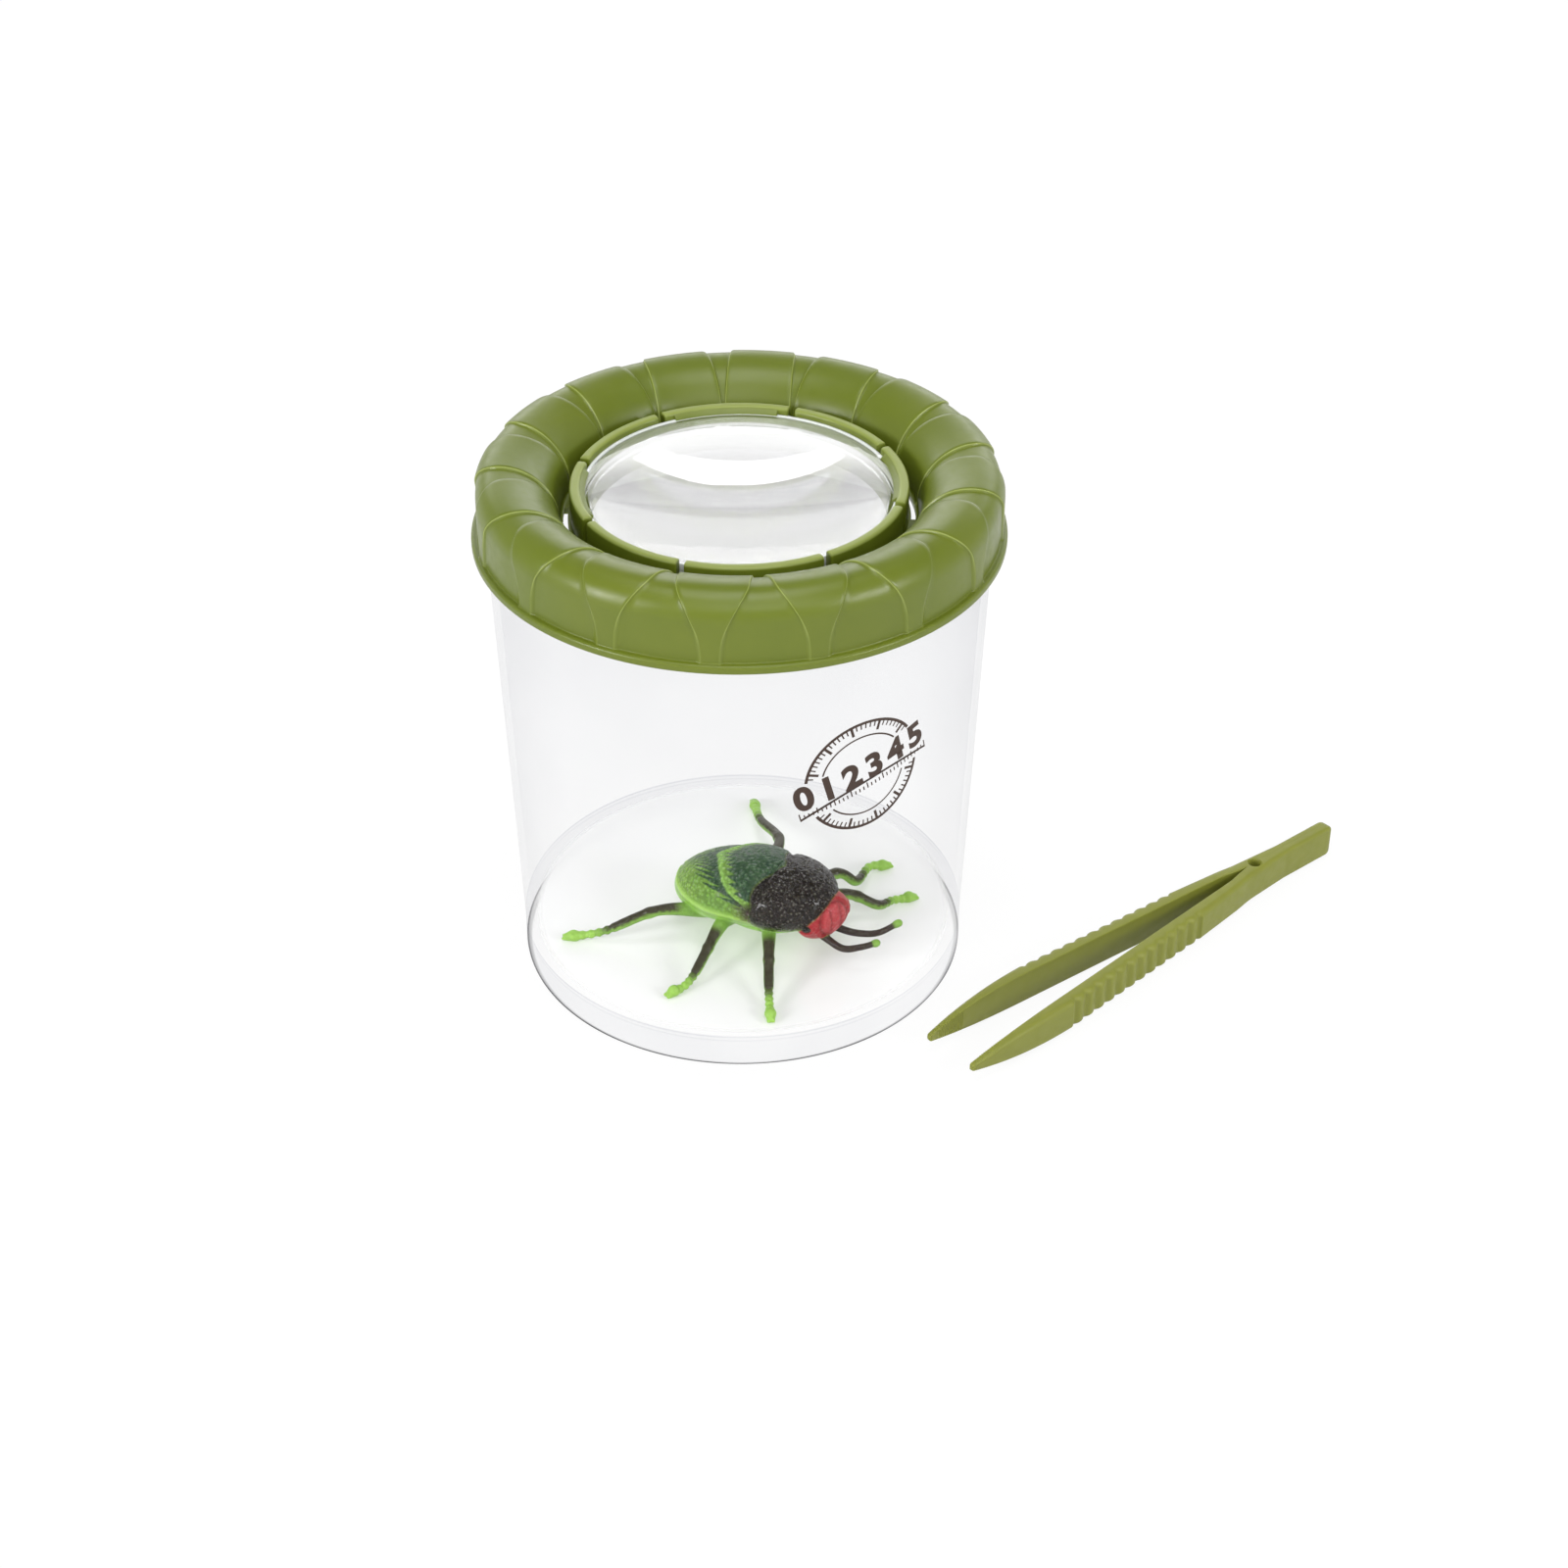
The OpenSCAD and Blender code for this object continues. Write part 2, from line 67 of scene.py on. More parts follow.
def link(obj):
    SCENE.collection.objects.link(obj)
    return obj


def soften(mesh, sharp=None):
    """Smooth shading, but for edges over the sharp angle in degrees"""
    mesh.shade_smooth()
    if sharp:
        mesh.set_sharp_from_angle(angle=radians(sharp))


def mesh_object(name, points, faces, sharp=None):
    """Object from points in millimetres"""
    mesh = bpy.data.meshes.new(name)
    mesh.from_pydata((np.asarray(points, float) * MM).tolist(), [], faces)
    mesh.update()
    soften(mesh, sharp)
    return link(bpy.data.objects.new(name, mesh))


def put_values(mesh, name, values):
    """One number or one colour for each point of a mesh"""
    values = np.asarray(values, np.float32)
    if values.ndim == 1:
        mesh.attributes.new(name, "FLOAT", "POINT").data.foreach_set("value", values)
    else:
        mesh.attributes.new(name, "FLOAT_COLOR", "POINT").data.foreach_set("color", values.ravel())


def vectors_of(mesh, key):
    """The place (co) or normal of each point of a mesh"""
    flat = np.zeros(len(mesh.vertices) * 3)
    mesh.vertices.foreach_get(key, flat)
    return flat.reshape(-1, 3)


def points_of(mesh):
    """Points of a mesh in millimetres"""
    return vectors_of(mesh, "co") / MM


def made_mesh(obj):
    """The mesh that an object's modifiers or text make"""
    return bpy.data.meshes.new_from_object(obj.evaluated_get(bpy.context.evaluated_depsgraph_get()))


def apply_modifiers(obj):
    made = made_mesh(obj)
    obj.modifiers.clear()
    obj.data = made


def joined(name, objects):
    """One object from several, in the first one's place"""
    made = bmesh.new()
    for obj in objects:
        made.from_mesh(obj.data)
        bpy.data.objects.remove(obj)
    mesh = bpy.data.meshes.new(name)
    made.to_mesh(mesh)
    made.free()
    return link(bpy.data.objects.new(name, mesh))


def rounded(corners, steps=5):
    """Closed outline through corners (x, y, radius)"""
    outline = []
    for i, (x, y, radius) in enumerate(corners):
        corner = np.array((x, y), float)
        before = np.array(corners[i - 1][:2], float) - corner
        after = np.array(corners[(i + 1) % len(corners)][:2], float) - corner
        before /= np.linalg.norm(before)
        after /= np.linalg.norm(after)
        half = acos(np.clip(before @ after, -1, 1)) / 2
        if radius <= 0:
            outline.append((x, y))
            continue
        middle = corner + (before + after) / np.linalg.norm(before + after) * radius / sin(half)
        first = corner + before * radius / tan(half) - middle
        last = corner + after * radius / tan(half) - middle
        start = atan2(first[1], first[0])
        turn = (atan2(last[1], last[0]) - start + pi) % (2 * pi) - pi
        for k in range(steps + 1):
            angle = start + turn * k / steps
            outline.append((middle[0] + radius * cos(angle), middle[1] + radius * sin(angle)))
    return outline


def loft(name, rings, sharp=None, flipped=False):
    """Closed body through rings of as many points each"""
    n, count = len(rings[0]), len(rings)
    faces = [(i * n + k, i * n + (k + 1) % n, (i + 1) * n + (k + 1) % n, (i + 1) * n + k)
             for i in range(count - 1) for k in range(n)]
    faces += [tuple(range(n))[::-1], tuple((count - 1) * n + k for k in range(n))]
    if flipped:
        faces = [face[::-1] for face in faces]
    return mesh_object(name, [point for ring in rings for point in ring], faces, sharp)


def revolved(name, outline, steps, sharp=40):
    """Turned body from an outline (r, z) that is closed, or open with both ends on the axis"""
    area = sum(a[0] * b[1] - b[0] * a[1] for a, b in zip(outline, outline[1:] + outline[:1]))
    outline = outline if area > 0 else outline[::-1]
    on_axis = [r < 1e-6 for r, z in outline]
    points, rings = [], []
    for (r, z), pole in zip(outline, on_axis):
        rings.append([len(points)] * steps if pole else [len(points) + k for k in range(steps)])
        for k in range(1 if pole else steps):
            angle = 2 * pi * k / steps
            points.append((r * cos(angle), r * sin(angle), z))
    faces = []
    for i, ring in enumerate(rings):
        other = rings[(i + 1) % len(rings)]
        if on_axis[i] and on_axis[(i + 1) % len(rings)]:
            continue
        for k in range(steps):
            n = (k + 1) % steps
            faces.append(tuple(dict.fromkeys((ring[k], ring[n], other[n], other[k]))))
    return mesh_object(name, points, faces, sharp)


class Nodes:
    """A node tree, built step by step"""

    def __init__(self, owner):
        owner.use_nodes = True
        self.tree = owner.node_tree

    def node(self, kind, inputs=None, **settings):
        made = self.tree.nodes.new("ShaderNode" + kind)
        for key, value in settings.items():
            setattr(made, key, value)
        for key, value in (inputs or {}).items():
            self.set(made.inputs[key], value)
        return made

    def set(self, socket, value):
        if isinstance(value, bpy.types.NodeSocket):
            self.tree.links.new(value, socket)
        else:
            socket.default_value = value

    def math(self, operation, first, second):
        return self.node("Math", {0: first, 1: second}, operation=operation).outputs[0]

    def ramp(self, value, low, high, to_low=0.0, to_high=1.0):
        return self.node("MapRange", {"Value": value, "From Min": low, "From Max": high,
                                      "To Min": to_low, "To Max": to_high}).outputs["Result"]

    def mix(self, share, first, second, blend="MIX"):
        made = self.node("Mix", data_type="RGBA", blend_type=blend)
        self.set(made.inputs["Factor"], share)
        self.set(made.inputs[6], first)
        self.set(made.inputs[7], second)
        return made.outputs[2]

    def seen(self):
        """1 for rays from the camera, through clear pieces and off shiny ones"""
        rays = self.node("LightPath").outputs
        seen = self.math("MAXIMUM", rays["Is Camera Ray"], rays["Is Transmission Ray"])
        return self.math("MAXIMUM", seen, rays["Is Glossy Ray"])


class Paint(Nodes):
    """A Principled material"""

    def __init__(self, name, **values):
        self.material = bpy.data.materials.new(name)
        super().__init__(self.material)
        self.shader = self.tree.nodes["Principled BSDF"]
        self.output = self.tree.nodes["Material Output"]
        self.place = self.node("TexCoord").outputs["Object"]
        for socket, value in values.items():
            self.shader.inputs[socket.replace("_", " ")].default_value = value

    def to_shader(self, **values):
        for socket, value in values.items():
            self.set(self.shader.inputs[socket.replace("_", " ")], value)

    def noise(self, size_mm, detail=3.0):
        return self.node("TexNoise", {"Vector": self.place, "Scale": 1 / (size_mm * MM), "Detail": detail,
                                      "Roughness": 0.55}).outputs["Fac"]

    def value_of(self, name, output="Fac"):
        return self.node("Attribute", attribute_name=name).outputs[output]

    def bump(self, height, strength, distance_mm, normal=None):
        made = self.node("Bump", {"Height": height, "Strength": strength, "Distance": distance_mm * MM})
        if normal is not None:
            self.set(made.inputs["Normal"], normal)
        return made.outputs["Normal"]


# Camera, lights, stage

CAMERA_PLACE = Vector((0, -0.562479, 0.433666))
CAMERA_AIM = Vector((0.01408607, 0.81980742, -0.57246605))
CAMERA_UP = Vector((0.00828881, 0.57240744, 0.81992745))
FOCAL_MM, SENSOR_MM = 68.7688, 36
WHITE, BLACK = (1, 1, 1, 1), (0, 0, 0, 1)
SKY_STRENGTH, FLOOR_GLOW, FLOOR_HALF, FLOOR_Z = 0.46, 0.9, 3000, -0.02
# Name, place, target and size in metres, and power of each lamp
LAMPS = [
    ("lamp_left", (-0.95, -0.62, 0.48), (0, 0, 0.09), (0.36, 0.36), 8),
    ("lamp_right", (0.9, -0.6, 0.5), (0.03, 0, 0.09), (0.36, 0.36), 5),
    ("lamp_front", (0.1, -0.75, 0.85), (0, 0, 0.08), (0.8, 0.6), 3),
    ("lamp_top", (0, -0.1, 1.3), (0, 0, 0.1), (0.7, 0.7), 6),
    ("lamp_back", (0.05, 1.1, 0.45), (0, 0, 0.12), (1.8, 0.5), 6),
]


def make_camera():
    data = bpy.data.cameras.new("camera")
    data.lens = FOCAL_MM
    data.sensor_width = SENSOR_MM
    data.clip_start = 0.01
    camera = link(bpy.data.objects.new("camera", data))
    aim, up = CAMERA_AIM.normalized(), CAMERA_UP.normalized()
    turn = Matrix((aim.cross(up), up, -aim)).transposed()
    camera.matrix_world = Matrix.Translation(CAMERA_PLACE) @ turn.to_4x4()
    SCENE.camera = camera


def make_lamp(name, place, target, size, power):
    data = bpy.data.lights.new(name, "AREA")
    data.shape = "RECTANGLE"
    data.size, data.size_y = size
    data.energy = power
    lamp = link(bpy.data.objects.new(name, data))
    lamp.location = place
    lamp.rotation_euler = (Vector(target) - Vector(place)).to_track_quat("-Z", "Y").to_euler()


def make_world():
    """Even white light, in which shiny faces mirror a white backdrop low down and a darker room above it"""
    world = bpy.data.worlds.new("studio")
    SCENE.world = world
    nodes = Nodes(world)
    sky = nodes.tree.nodes["Background"]
    nodes.set(sky.inputs["Color"], WHITE)
    nodes.set(sky.inputs["Strength"], SKY_STRENGTH)
    height = nodes.node("SeparateXYZ", {0: nodes.node("TexCoord").outputs["Generated"]}).outputs["Z"]
    glossy = nodes.node("LightPath").outputs["Is Glossy Ray"]
    fade = nodes.math("MULTIPLY", nodes.ramp(height, 0.5, 0.68, 0.45, 0.75), glossy)
    white = nodes.node("Background", {"Color": nodes.mix(fade, WHITE, BLACK), "Strength": 1})
    mix = nodes.node("MixShader", {0: nodes.seen(), 1: sky.outputs[0], 2: white.outputs[0]})
    nodes.set(nodes.tree.nodes["World Output"].inputs[0], mix.outputs[0])


def make_floor():
    corners = [(x * FLOOR_HALF, y * FLOOR_HALF, FLOOR_Z) for x, y in ((-1, -1), (1, -1), (1, 1), (-1, 1))]
    floor = mesh_object("floor", corners, [(0, 1, 2, 3)])
    paint = Paint("floor", Base_Color=(0.9, 0.9, 0.9, 1), Roughness=0.9)
    paint.to_shader(Base_Color=paint.mix(paint.noise(40), (0.88, 0.88, 0.88, 1), (0.92, 0.92, 0.92, 1)))
    glow = paint.node("Emission", {"Color": WHITE, "Strength": 1.0})
    share = paint.math("MULTIPLY", paint.seen(), FLOOR_GLOW)
    mix = paint.node("MixShader", {0: share, 1: paint.shader.outputs[0], 2: glow.outputs[0]})
    paint.set(paint.output.inputs["Surface"], mix.outputs[0])
    floor.data.materials.append(paint.material)


# Clear pieces

def see_through(paint, clear_color, gloss_share):
    """Lets shadow and diffuse rays pass a clear piece unbent, and all other rays but a glossy share"""
    rays = paint.node("LightPath").outputs
    passes = paint.math("MAXIMUM", rays["Is Shadow Ray"], rays["Is Diffuse Ray"])
    share = paint.math("MULTIPLY", paint.math("SUBTRACT", 1.0, passes), gloss_share)
    clear = paint.node("BsdfTransparent", {"Color": clear_color})
    mix = paint.node("MixShader", {0: share, 1: clear.outputs[0], 2: paint.shader.outputs[0]})
    paint.set(paint.output.inputs["Surface"], mix.outputs[0])


FOOT_R, RIM_R, JAR_H, FOOT_H = 50.9, 55.1, 116.0, 8.5
HIGH_LINE, LOW_LINE, LINE_WIDTH = 8.1, 7.1, 0.2


def jar_radius(z):
    """Radius of the jar's outer wall at a height or at several"""
    return FOOT_R + (RIM_R - FOOT_R) * np.maximum(0, z - FOOT_H) / (JAR_H - FOOT_H)


def make_jar():
    wall, floor_z, floor_wall = 1.6, 7.4, 1.8
    inner = FOOT_R - wall
    band = [(FOOT_R, z, 0) for z in (1.2, 6.6, 6.85, 7.1, 7.35, 7.6, 7.85, 8.1)]
    outline = rounded([
        (inner, 0, 0.35), (FOOT_R, 0, 0.8), *band, (FOOT_R, FOOT_H, 0.8), (RIM_R, JAR_H, 0.5),
        (RIM_R - wall, JAR_H, 0.5), (inner, floor_z, 1.4), (47, floor_z, 0), (0, floor_z, 0),
        (0, floor_z - floor_wall, 0), (48, floor_z - floor_wall, 0), (inner, floor_z - floor_wall, 0.5),
    ])
    jar = revolved("clear_jar", outline, 192)
    p = points_of(jar.data)
    reach, z = np.hypot(p[:, 0], p[:, 1]), p[:, 2]
    # Painted contact shadow along the outer bottom edge of the foot
    painted_contact_shadow = smooth(1.1, 0.7, z) * smooth(49.6, 50.1, reach)
    # Painted shade along the top of the rim
    rim_shade = smooth(JAR_H - 0.7, JAR_H - 0.1, z) * 0.5
    # Painted shade: the floor's rim, as it shows through the wall, is painted on the wall as a darker tinted
    # band with two fine lines, and the foot below it darker too
    lines = (0.4 * np.exp(-((z - HIGH_LINE) / LINE_WIDTH) ** 2)
             + 0.2 * np.exp(-((z - LOW_LINE) / LINE_WIDTH) ** 2))
    between = np.abs(z - (HIGH_LINE + LOW_LINE) / 2) < 0.6
    painted_floor_rim = (reach > FOOT_R - 0.1) * (lines + 0.2 * between + 0.24 * (z < LOW_LINE - 0.05))
    milk = smooth(48.6, 47.6, reach) * (np.abs(z - floor_z) < 0.5)
    put_values(jar.data, "edge", np.clip(rim_shade + painted_floor_rim + 0.06 * milk, 0, 1))
    put_values(jar.data, "low", painted_contact_shadow)
    put_values(jar.data, "milk", milk)
    put_values(jar.data, "outer", smooth(-0.9, -0.5, reach - jar_radius(z)))
    paint = Paint("clear_styrene", Base_Color=linear(251, 251, 252), Roughness=0.05, IOR=1.5, Alpha=0.3)
    slant = paint.node("LayerWeight", {"Blend": 0.5}).outputs["Facing"]
    outer = paint.value_of("outer")
    # Painted shade: the clear colour darkens towards grazing views, most on the outer face
    grazing_shade = paint.mix(outer, (0.997, 0.997, 0.997, 1), (0.9, 0.9, 0.904, 1))
    tint_and_shade = paint.mix(paint.ramp(slant, 0.45, 1.0), (0.999, 0.999, 0.998, 1), grazing_shade)
    # Painted shade on the rim, the floor's rim and the foot, and a little grey on the milky floor
    tint_and_shade = paint.mix(paint.value_of("edge"), tint_and_shade, (0.6, 0.61, 0.66, 1))
    # Painted contact shadow: near-black at the foot's bottom edge, stronger at grazing views
    low = paint.math("MULTIPLY", paint.value_of("low"), paint.ramp(slant, 0.25, 0.6))
    tint_and_shade = paint.mix(low, tint_and_shade, (0.14, 0.14, 0.15, 1))
    tint_and_shade = paint.mix(paint.ramp(paint.noise(30, 2), 0.4, 0.7, 0, 0.4), tint_and_shade, (0.994, 0.994, 0.995, 1))
    gloss = paint.ramp(paint.math("POWER", slant, 5.0), 0, 1, 0.01, paint.ramp(outer, 0, 1, 0.03, 0.3))
    gloss = paint.math("MAXIMUM", gloss, paint.value_of("milk"))
    paint.to_shader(Roughness=paint.ramp(paint.noise(25), 0.35, 0.7, 0.03, 0.09),
                    Alpha=paint.ramp(paint.value_of("milk"), 0, 1, 0.3, 0.8),
                    Normal=paint.bump(paint.noise(9, 2), 0.08, 0.2))
    see_through(paint, tint_and_shade, gloss)
    jar.data.materials.append(paint.material)
    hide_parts("jar")
    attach(jar, "jar")


def make_lens():
    radius, seat, top = 34.0, 115.3, 118.7
    dome_base, dome, belly_base, belly, count = 33.2, 4.2, 31.9, 4.0, 40
    outline = []
    for base, height, level, sign in ((dome_base, dome, top, 1), (belly_base, belly, seat, -1)):
        ball = (base ** 2 + height ** 2) / (2 * height)
        rows = [(base * k / count,
                 level + sign * (sqrt(ball ** 2 - (base * k / count) ** 2) - ball + height))
                for k in range(count + 1)]
        rim = rounded([(base - 1, level, 0), (radius, level, 0.25), (radius, (top + seat) / 2, 0)])[1:-1]
        outline += rows + rim if sign > 0 else rim[::-1] + rows[::-1]
    lens = revolved("lens", outline, 192, 25)
    paint = Paint("clear_acrylic", Base_Color=linear(250, 250, 250), Roughness=0.0, IOR=1.49,
                  Transmission_Weight=1.0)
    paint.to_shader(Roughness=paint.ramp(paint.noise(14), 0.4, 0.7, 0.0, 0.01),
                    Normal=paint.bump(paint.noise(14, 1), 0.015, 0.1))
    p = points_of(lens.data)
    reach = np.hypot(p[:, 0], p[:, 1])
    # Painted shade: the clear colour is darker where the belly meets the rim
    belly_crease_shade = smooth(30.8, 31.6, reach) * smooth(32.4, 31.8, reach)
    put_values(lens.data, "edge", belly_crease_shade * (p[:, 2] < seat + 0.1))
    clear = paint.mix(paint.value_of("edge"), (0.985, 0.985, 0.985, 1), (0.7, 0.71, 0.71, 1))
    # The share of light that the lens bends is higher towards its back, as the photo's clean upper half shows
    put_values(lens.data, "bend", 0.34 + 0.46 * smooth(-4.0, 14.0, p[:, 1]))
    see_through(paint, clear, paint.value_of("bend"))
    lens.data.materials.append(paint.material)
    # The lens's frosted edge, which shows through its faces as pale grey
    inside, outside, low, high = radius - 0.5, radius - 0.1, seat + 0.3, top - 0.3
    rim = revolved("lens_edge", rounded([(inside, low, 0.1), (outside, low, 0.1), (outside, high, 0.1),
                                         (inside, high, 0.1)], 2), 192)
    frost = Paint("frosted_edge", Roughness=0.6)
    frost.to_shader(Base_Color=frost.mix(frost.noise(1.5), linear(226, 230, 230), linear(238, 240, 239)))
    rim.data.materials.append(frost.material)
    for piece in (lens, rim):
        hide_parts("magnifier_lens")
        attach(piece, "lid")


# Lid

LID_TURN = 5.0
PETALS = 16
SECTOR = 360 / PETALS
LIP_Z, CREST_Z, TROUGH_Z, UNDER_Z = 107.8, 124.9, 112.0, 110.5
VENT_IN, VENT_OUT = 36.95, 38.05
# Rounding of the crown's outer and inner side about CREST_R: height of the middle and radius
CREST_R, OUTER_MID, OUTER_ROUND, INNER_MID, INNER_ROUND = 50.7, 118.7, 5.7, 112.8, 11.6
# A petal's height, half its width at its foot and inside, and a vent's angle from its gap's middle
PETAL_RISE, STRAP, SPREAD_STRAP, VENT_REACH = 0.5, 2.4, 7.4, 9.6
# Strips of the lid's mesh within a petal, on its edge and in the gap beside it, over half a sector
INSIDE, BAND, OUTSIDE = 8, 6, 4


def column_offsets(radius, half_width, soft):
    """Angles from a petal's middle to the next gap's, with a band along its edge, wide where soft"""
    limit = SECTOR / 2
    if half_width is None:
        vent_end = limit - VENT_REACH
        return [vent_end / 2] + list(np.linspace(vent_end, limit, INSIDE + BAND + OUTSIDE - 1))
    edge = degrees(asin(half_width / radius))
    band = degrees((0.2 + 0.5 * soft) / radius)
    steps = (0, edge - band, INSIDE), (edge - band, edge + band, BAND), (edge + band, limit, OUTSIDE)
    return [angle for low, high, count in steps for angle in np.linspace(low, high, count + 1)[1:]]


def lid_rows():
    """Rows of the lid's section, over the crown and back below: r, z, way to rise, half a petal's width"""
    base, foot = 56.4, LIP_Z + 2
    quarter = pi / 2

    def half(z):
        return STRAP + (SPREAD_STRAP - STRAP) * max(0, min(1, (z - foot) / (CREST_Z - foot))) ** 2.5

    lip = rounded([(55.2, LIP_Z, 0), (57.8, LIP_Z, 0.5), (57.8, foot, 0.7), (base, foot, 0)])[1:-1]
    rows = [(r, z, (0, 0), STRAP) for r, z in lip]
    rows += [(base + 0.3 - 0.3 * sin(a), foot + 0.3 - 0.3 * cos(a), (1, 0), STRAP)
             for a in np.linspace(0, quarter, 4)]
    rows += [(base, z, (1, 0), half(z)) for z in np.linspace(foot + 0.3, OUTER_MID, 16)[1:-1]]
    for a in np.linspace(0, quarter, 20):
        up = (cos(a), sin(a))
        rows.append((CREST_R + OUTER_ROUND * up[0], OUTER_MID + OUTER_ROUND * up[1], up,
                     half(OUTER_MID + (OUTER_ROUND + PETAL_RISE) * up[1])))
    for a in np.linspace(quarter, pi, 30)[1:]:
        up = (cos(a), sin(a))
        rows.append((CREST_R + INNER_ROUND * up[0], INNER_MID + INNER_ROUND * up[1], up, SPREAD_STRAP))
    rows += [(38.4 + 0.7 * cos(a), TROUGH_Z + 0.7 - 0.7 * sin(a), (-1, 0), SPREAD_STRAP)
             for a in np.linspace(0, quarter, 5)]
    plain = [(VENT_OUT, TROUGH_Z), (VENT_IN, TROUGH_Z), (36.6, TROUGH_Z)]
    plain += rounded([(33.6, TROUGH_Z, 0), (33.3, TROUGH_Z, 0.15), (33.3, 115.3, 0.25), (31.9, 115.3, 0.25),
                      (31.9, UNDER_Z, 0.25), (34, UNDER_Z, 0)], 3)
    plain += [(VENT_IN, UNDER_Z), (VENT_OUT, UNDER_Z), (39.6, UNDER_Z)]
    plain += rounded([(40, UNDER_Z, 0), (40.3, UNDER_Z, 0.2), (40.3, 112, 0)], 2)[1:]
    plain += [(CREST_R + 10.4 * cos(a), INNER_MID + 10.4 * sin(a))
              for a in np.linspace(pi, quarter, 14)]
    plain += [(CREST_R + 4.5 * cos(a), OUTER_MID + 4.5 * sin(a))
              for a in np.linspace(quarter, 0, 10)[1:]]
    plain += rounded([(55.2, 112, 0), (55.2, LIP_Z, 0.3), (56, LIP_Z, 0)], 2)
    return rows + [(r, z, (0, 0), None) for r, z in plain]


def lid_grid():
    """Points, faces and painted edge highlight share of the lid's turned shell with its petals and vents"""
    rows = lid_rows()
    quarter = INSIDE + BAND + OUTSIDE
    width = PETALS * 2 * quarter
    share = [0.0] + [0.0] * INSIDE + list(np.linspace(0, 1, BAND + 1)[1:]) + [1.0] * OUTSIDE
    columns = [(-1, k) for k in range(quarter, 0, -1)] + [(1, k) for k in range(quarter)]
    points, edges = [], []
    for r, z, rise, half in rows:
        soft = float(smooth(121, 113, z)) if rise[0] > 0.2 else 0.0
        offsets = [0.0] + column_offsets(r, half, soft)
        for i in range(PETALS):
            middle = (i + 0.5) * SECTOR + LID_TURN
            for side, k in columns:
                angle = radians(middle + side * offsets[k])
                lift = PETAL_RISE * (1 - float(smooth(0, 1, share[k])))
                radius = r + rise[0] * lift
                points.append((radius * cos(angle), radius * sin(angle), z + rise[1] * lift))
                on_petal = half is not None and rise != (0, 0)
                # Painted highlight: a light line along each petal's edge, weaker where the edge is soft
                line = exp(-((share[k] - 0.15) / 0.3) ** 2) * (1 - 0.8 * soft)
                edges.append(line if on_petal and 0 < share[k] < 1 else 0.0)

    def in_vent(column):
        """Whether the strip from a column to the next lies in a vent, one at every second gap"""
        sector, place = divmod(column, 2 * quarter)
        gap = sector + (place >= quarter)
        return abs(place + 0.5 - quarter) > 2 and gap % 2 == 0

    def row_at(radius, level):
        """Index of the row of the hidden side at a radius and a level"""
        return next(i for i, (r, z, rise, half) in enumerate(rows)
                    if half is None and abs(r - radius) < 1e-6 and abs(z - level) < 1e-6)

    top_out, top_in = row_at(VENT_OUT, TROUGH_Z), row_at(VENT_IN, TROUGH_Z)
    low_in, low_out = row_at(VENT_IN, UNDER_Z), row_at(VENT_OUT, UNDER_Z)
    faces = []

    def add_face(*corners):
        faces.append(tuple(row * width + column for row, column in corners))

    for i in range(len(rows)):
        j = (i + 1) % len(rows)
        for c in range(width):
            n = (c + 1) % width
            if not (i in (top_out, low_in) and in_vent(c)):
                add_face((i, c), (i, n), (j, n), (j, c))
            elif i == top_out:
                add_face((top_in, c), (top_in, n), (low_in, n), (low_in, c))
                add_face((low_out, c), (low_out, n), (top_out, n), (top_out, c))
                if not in_vent((c - 1) % width):
                    add_face((top_out, c), (top_in, c), (low_in, c), (low_out, c))
                if not in_vent(n):
                    add_face((top_in, n), (top_out, n), (low_out, n), (low_in, n))
    return points, faces, edges


def arc_bar(name, outline, middle, sweep, steps, end_round):
    """Bar with an outline (r, z) bent round the lid's axis, with softened ends"""
    outline = np.array(outline)
    centre = outline.mean(0)
    radius = centre[0]
    stations = [(-sweep / 2 + degrees(end_round * (1 - cos(a)) / radius),
                 end_round * (1 - sin(a))) for a in np.linspace(0, pi / 2, 4)]
    inner = [(s, 0.0) for s in np.linspace(stations[-1][0], -stations[-1][0], steps + 1)[1:-1]]
    stations = stations + inner + [(-s, i) for s, i in reversed(stations)]
    rings = []
    for angle, inset in stations:
        reach = np.linalg.norm(outline - centre, axis=1, keepdims=True)
        ring = centre + (outline - centre) * (1 - inset / np.maximum(reach, inset * 1.01 + 1e-9))
        a = radians(middle + angle)
        rings.append([(r * cos(a), r * sin(a), z) for r, z in ring])
    return loft(name, rings, 35)


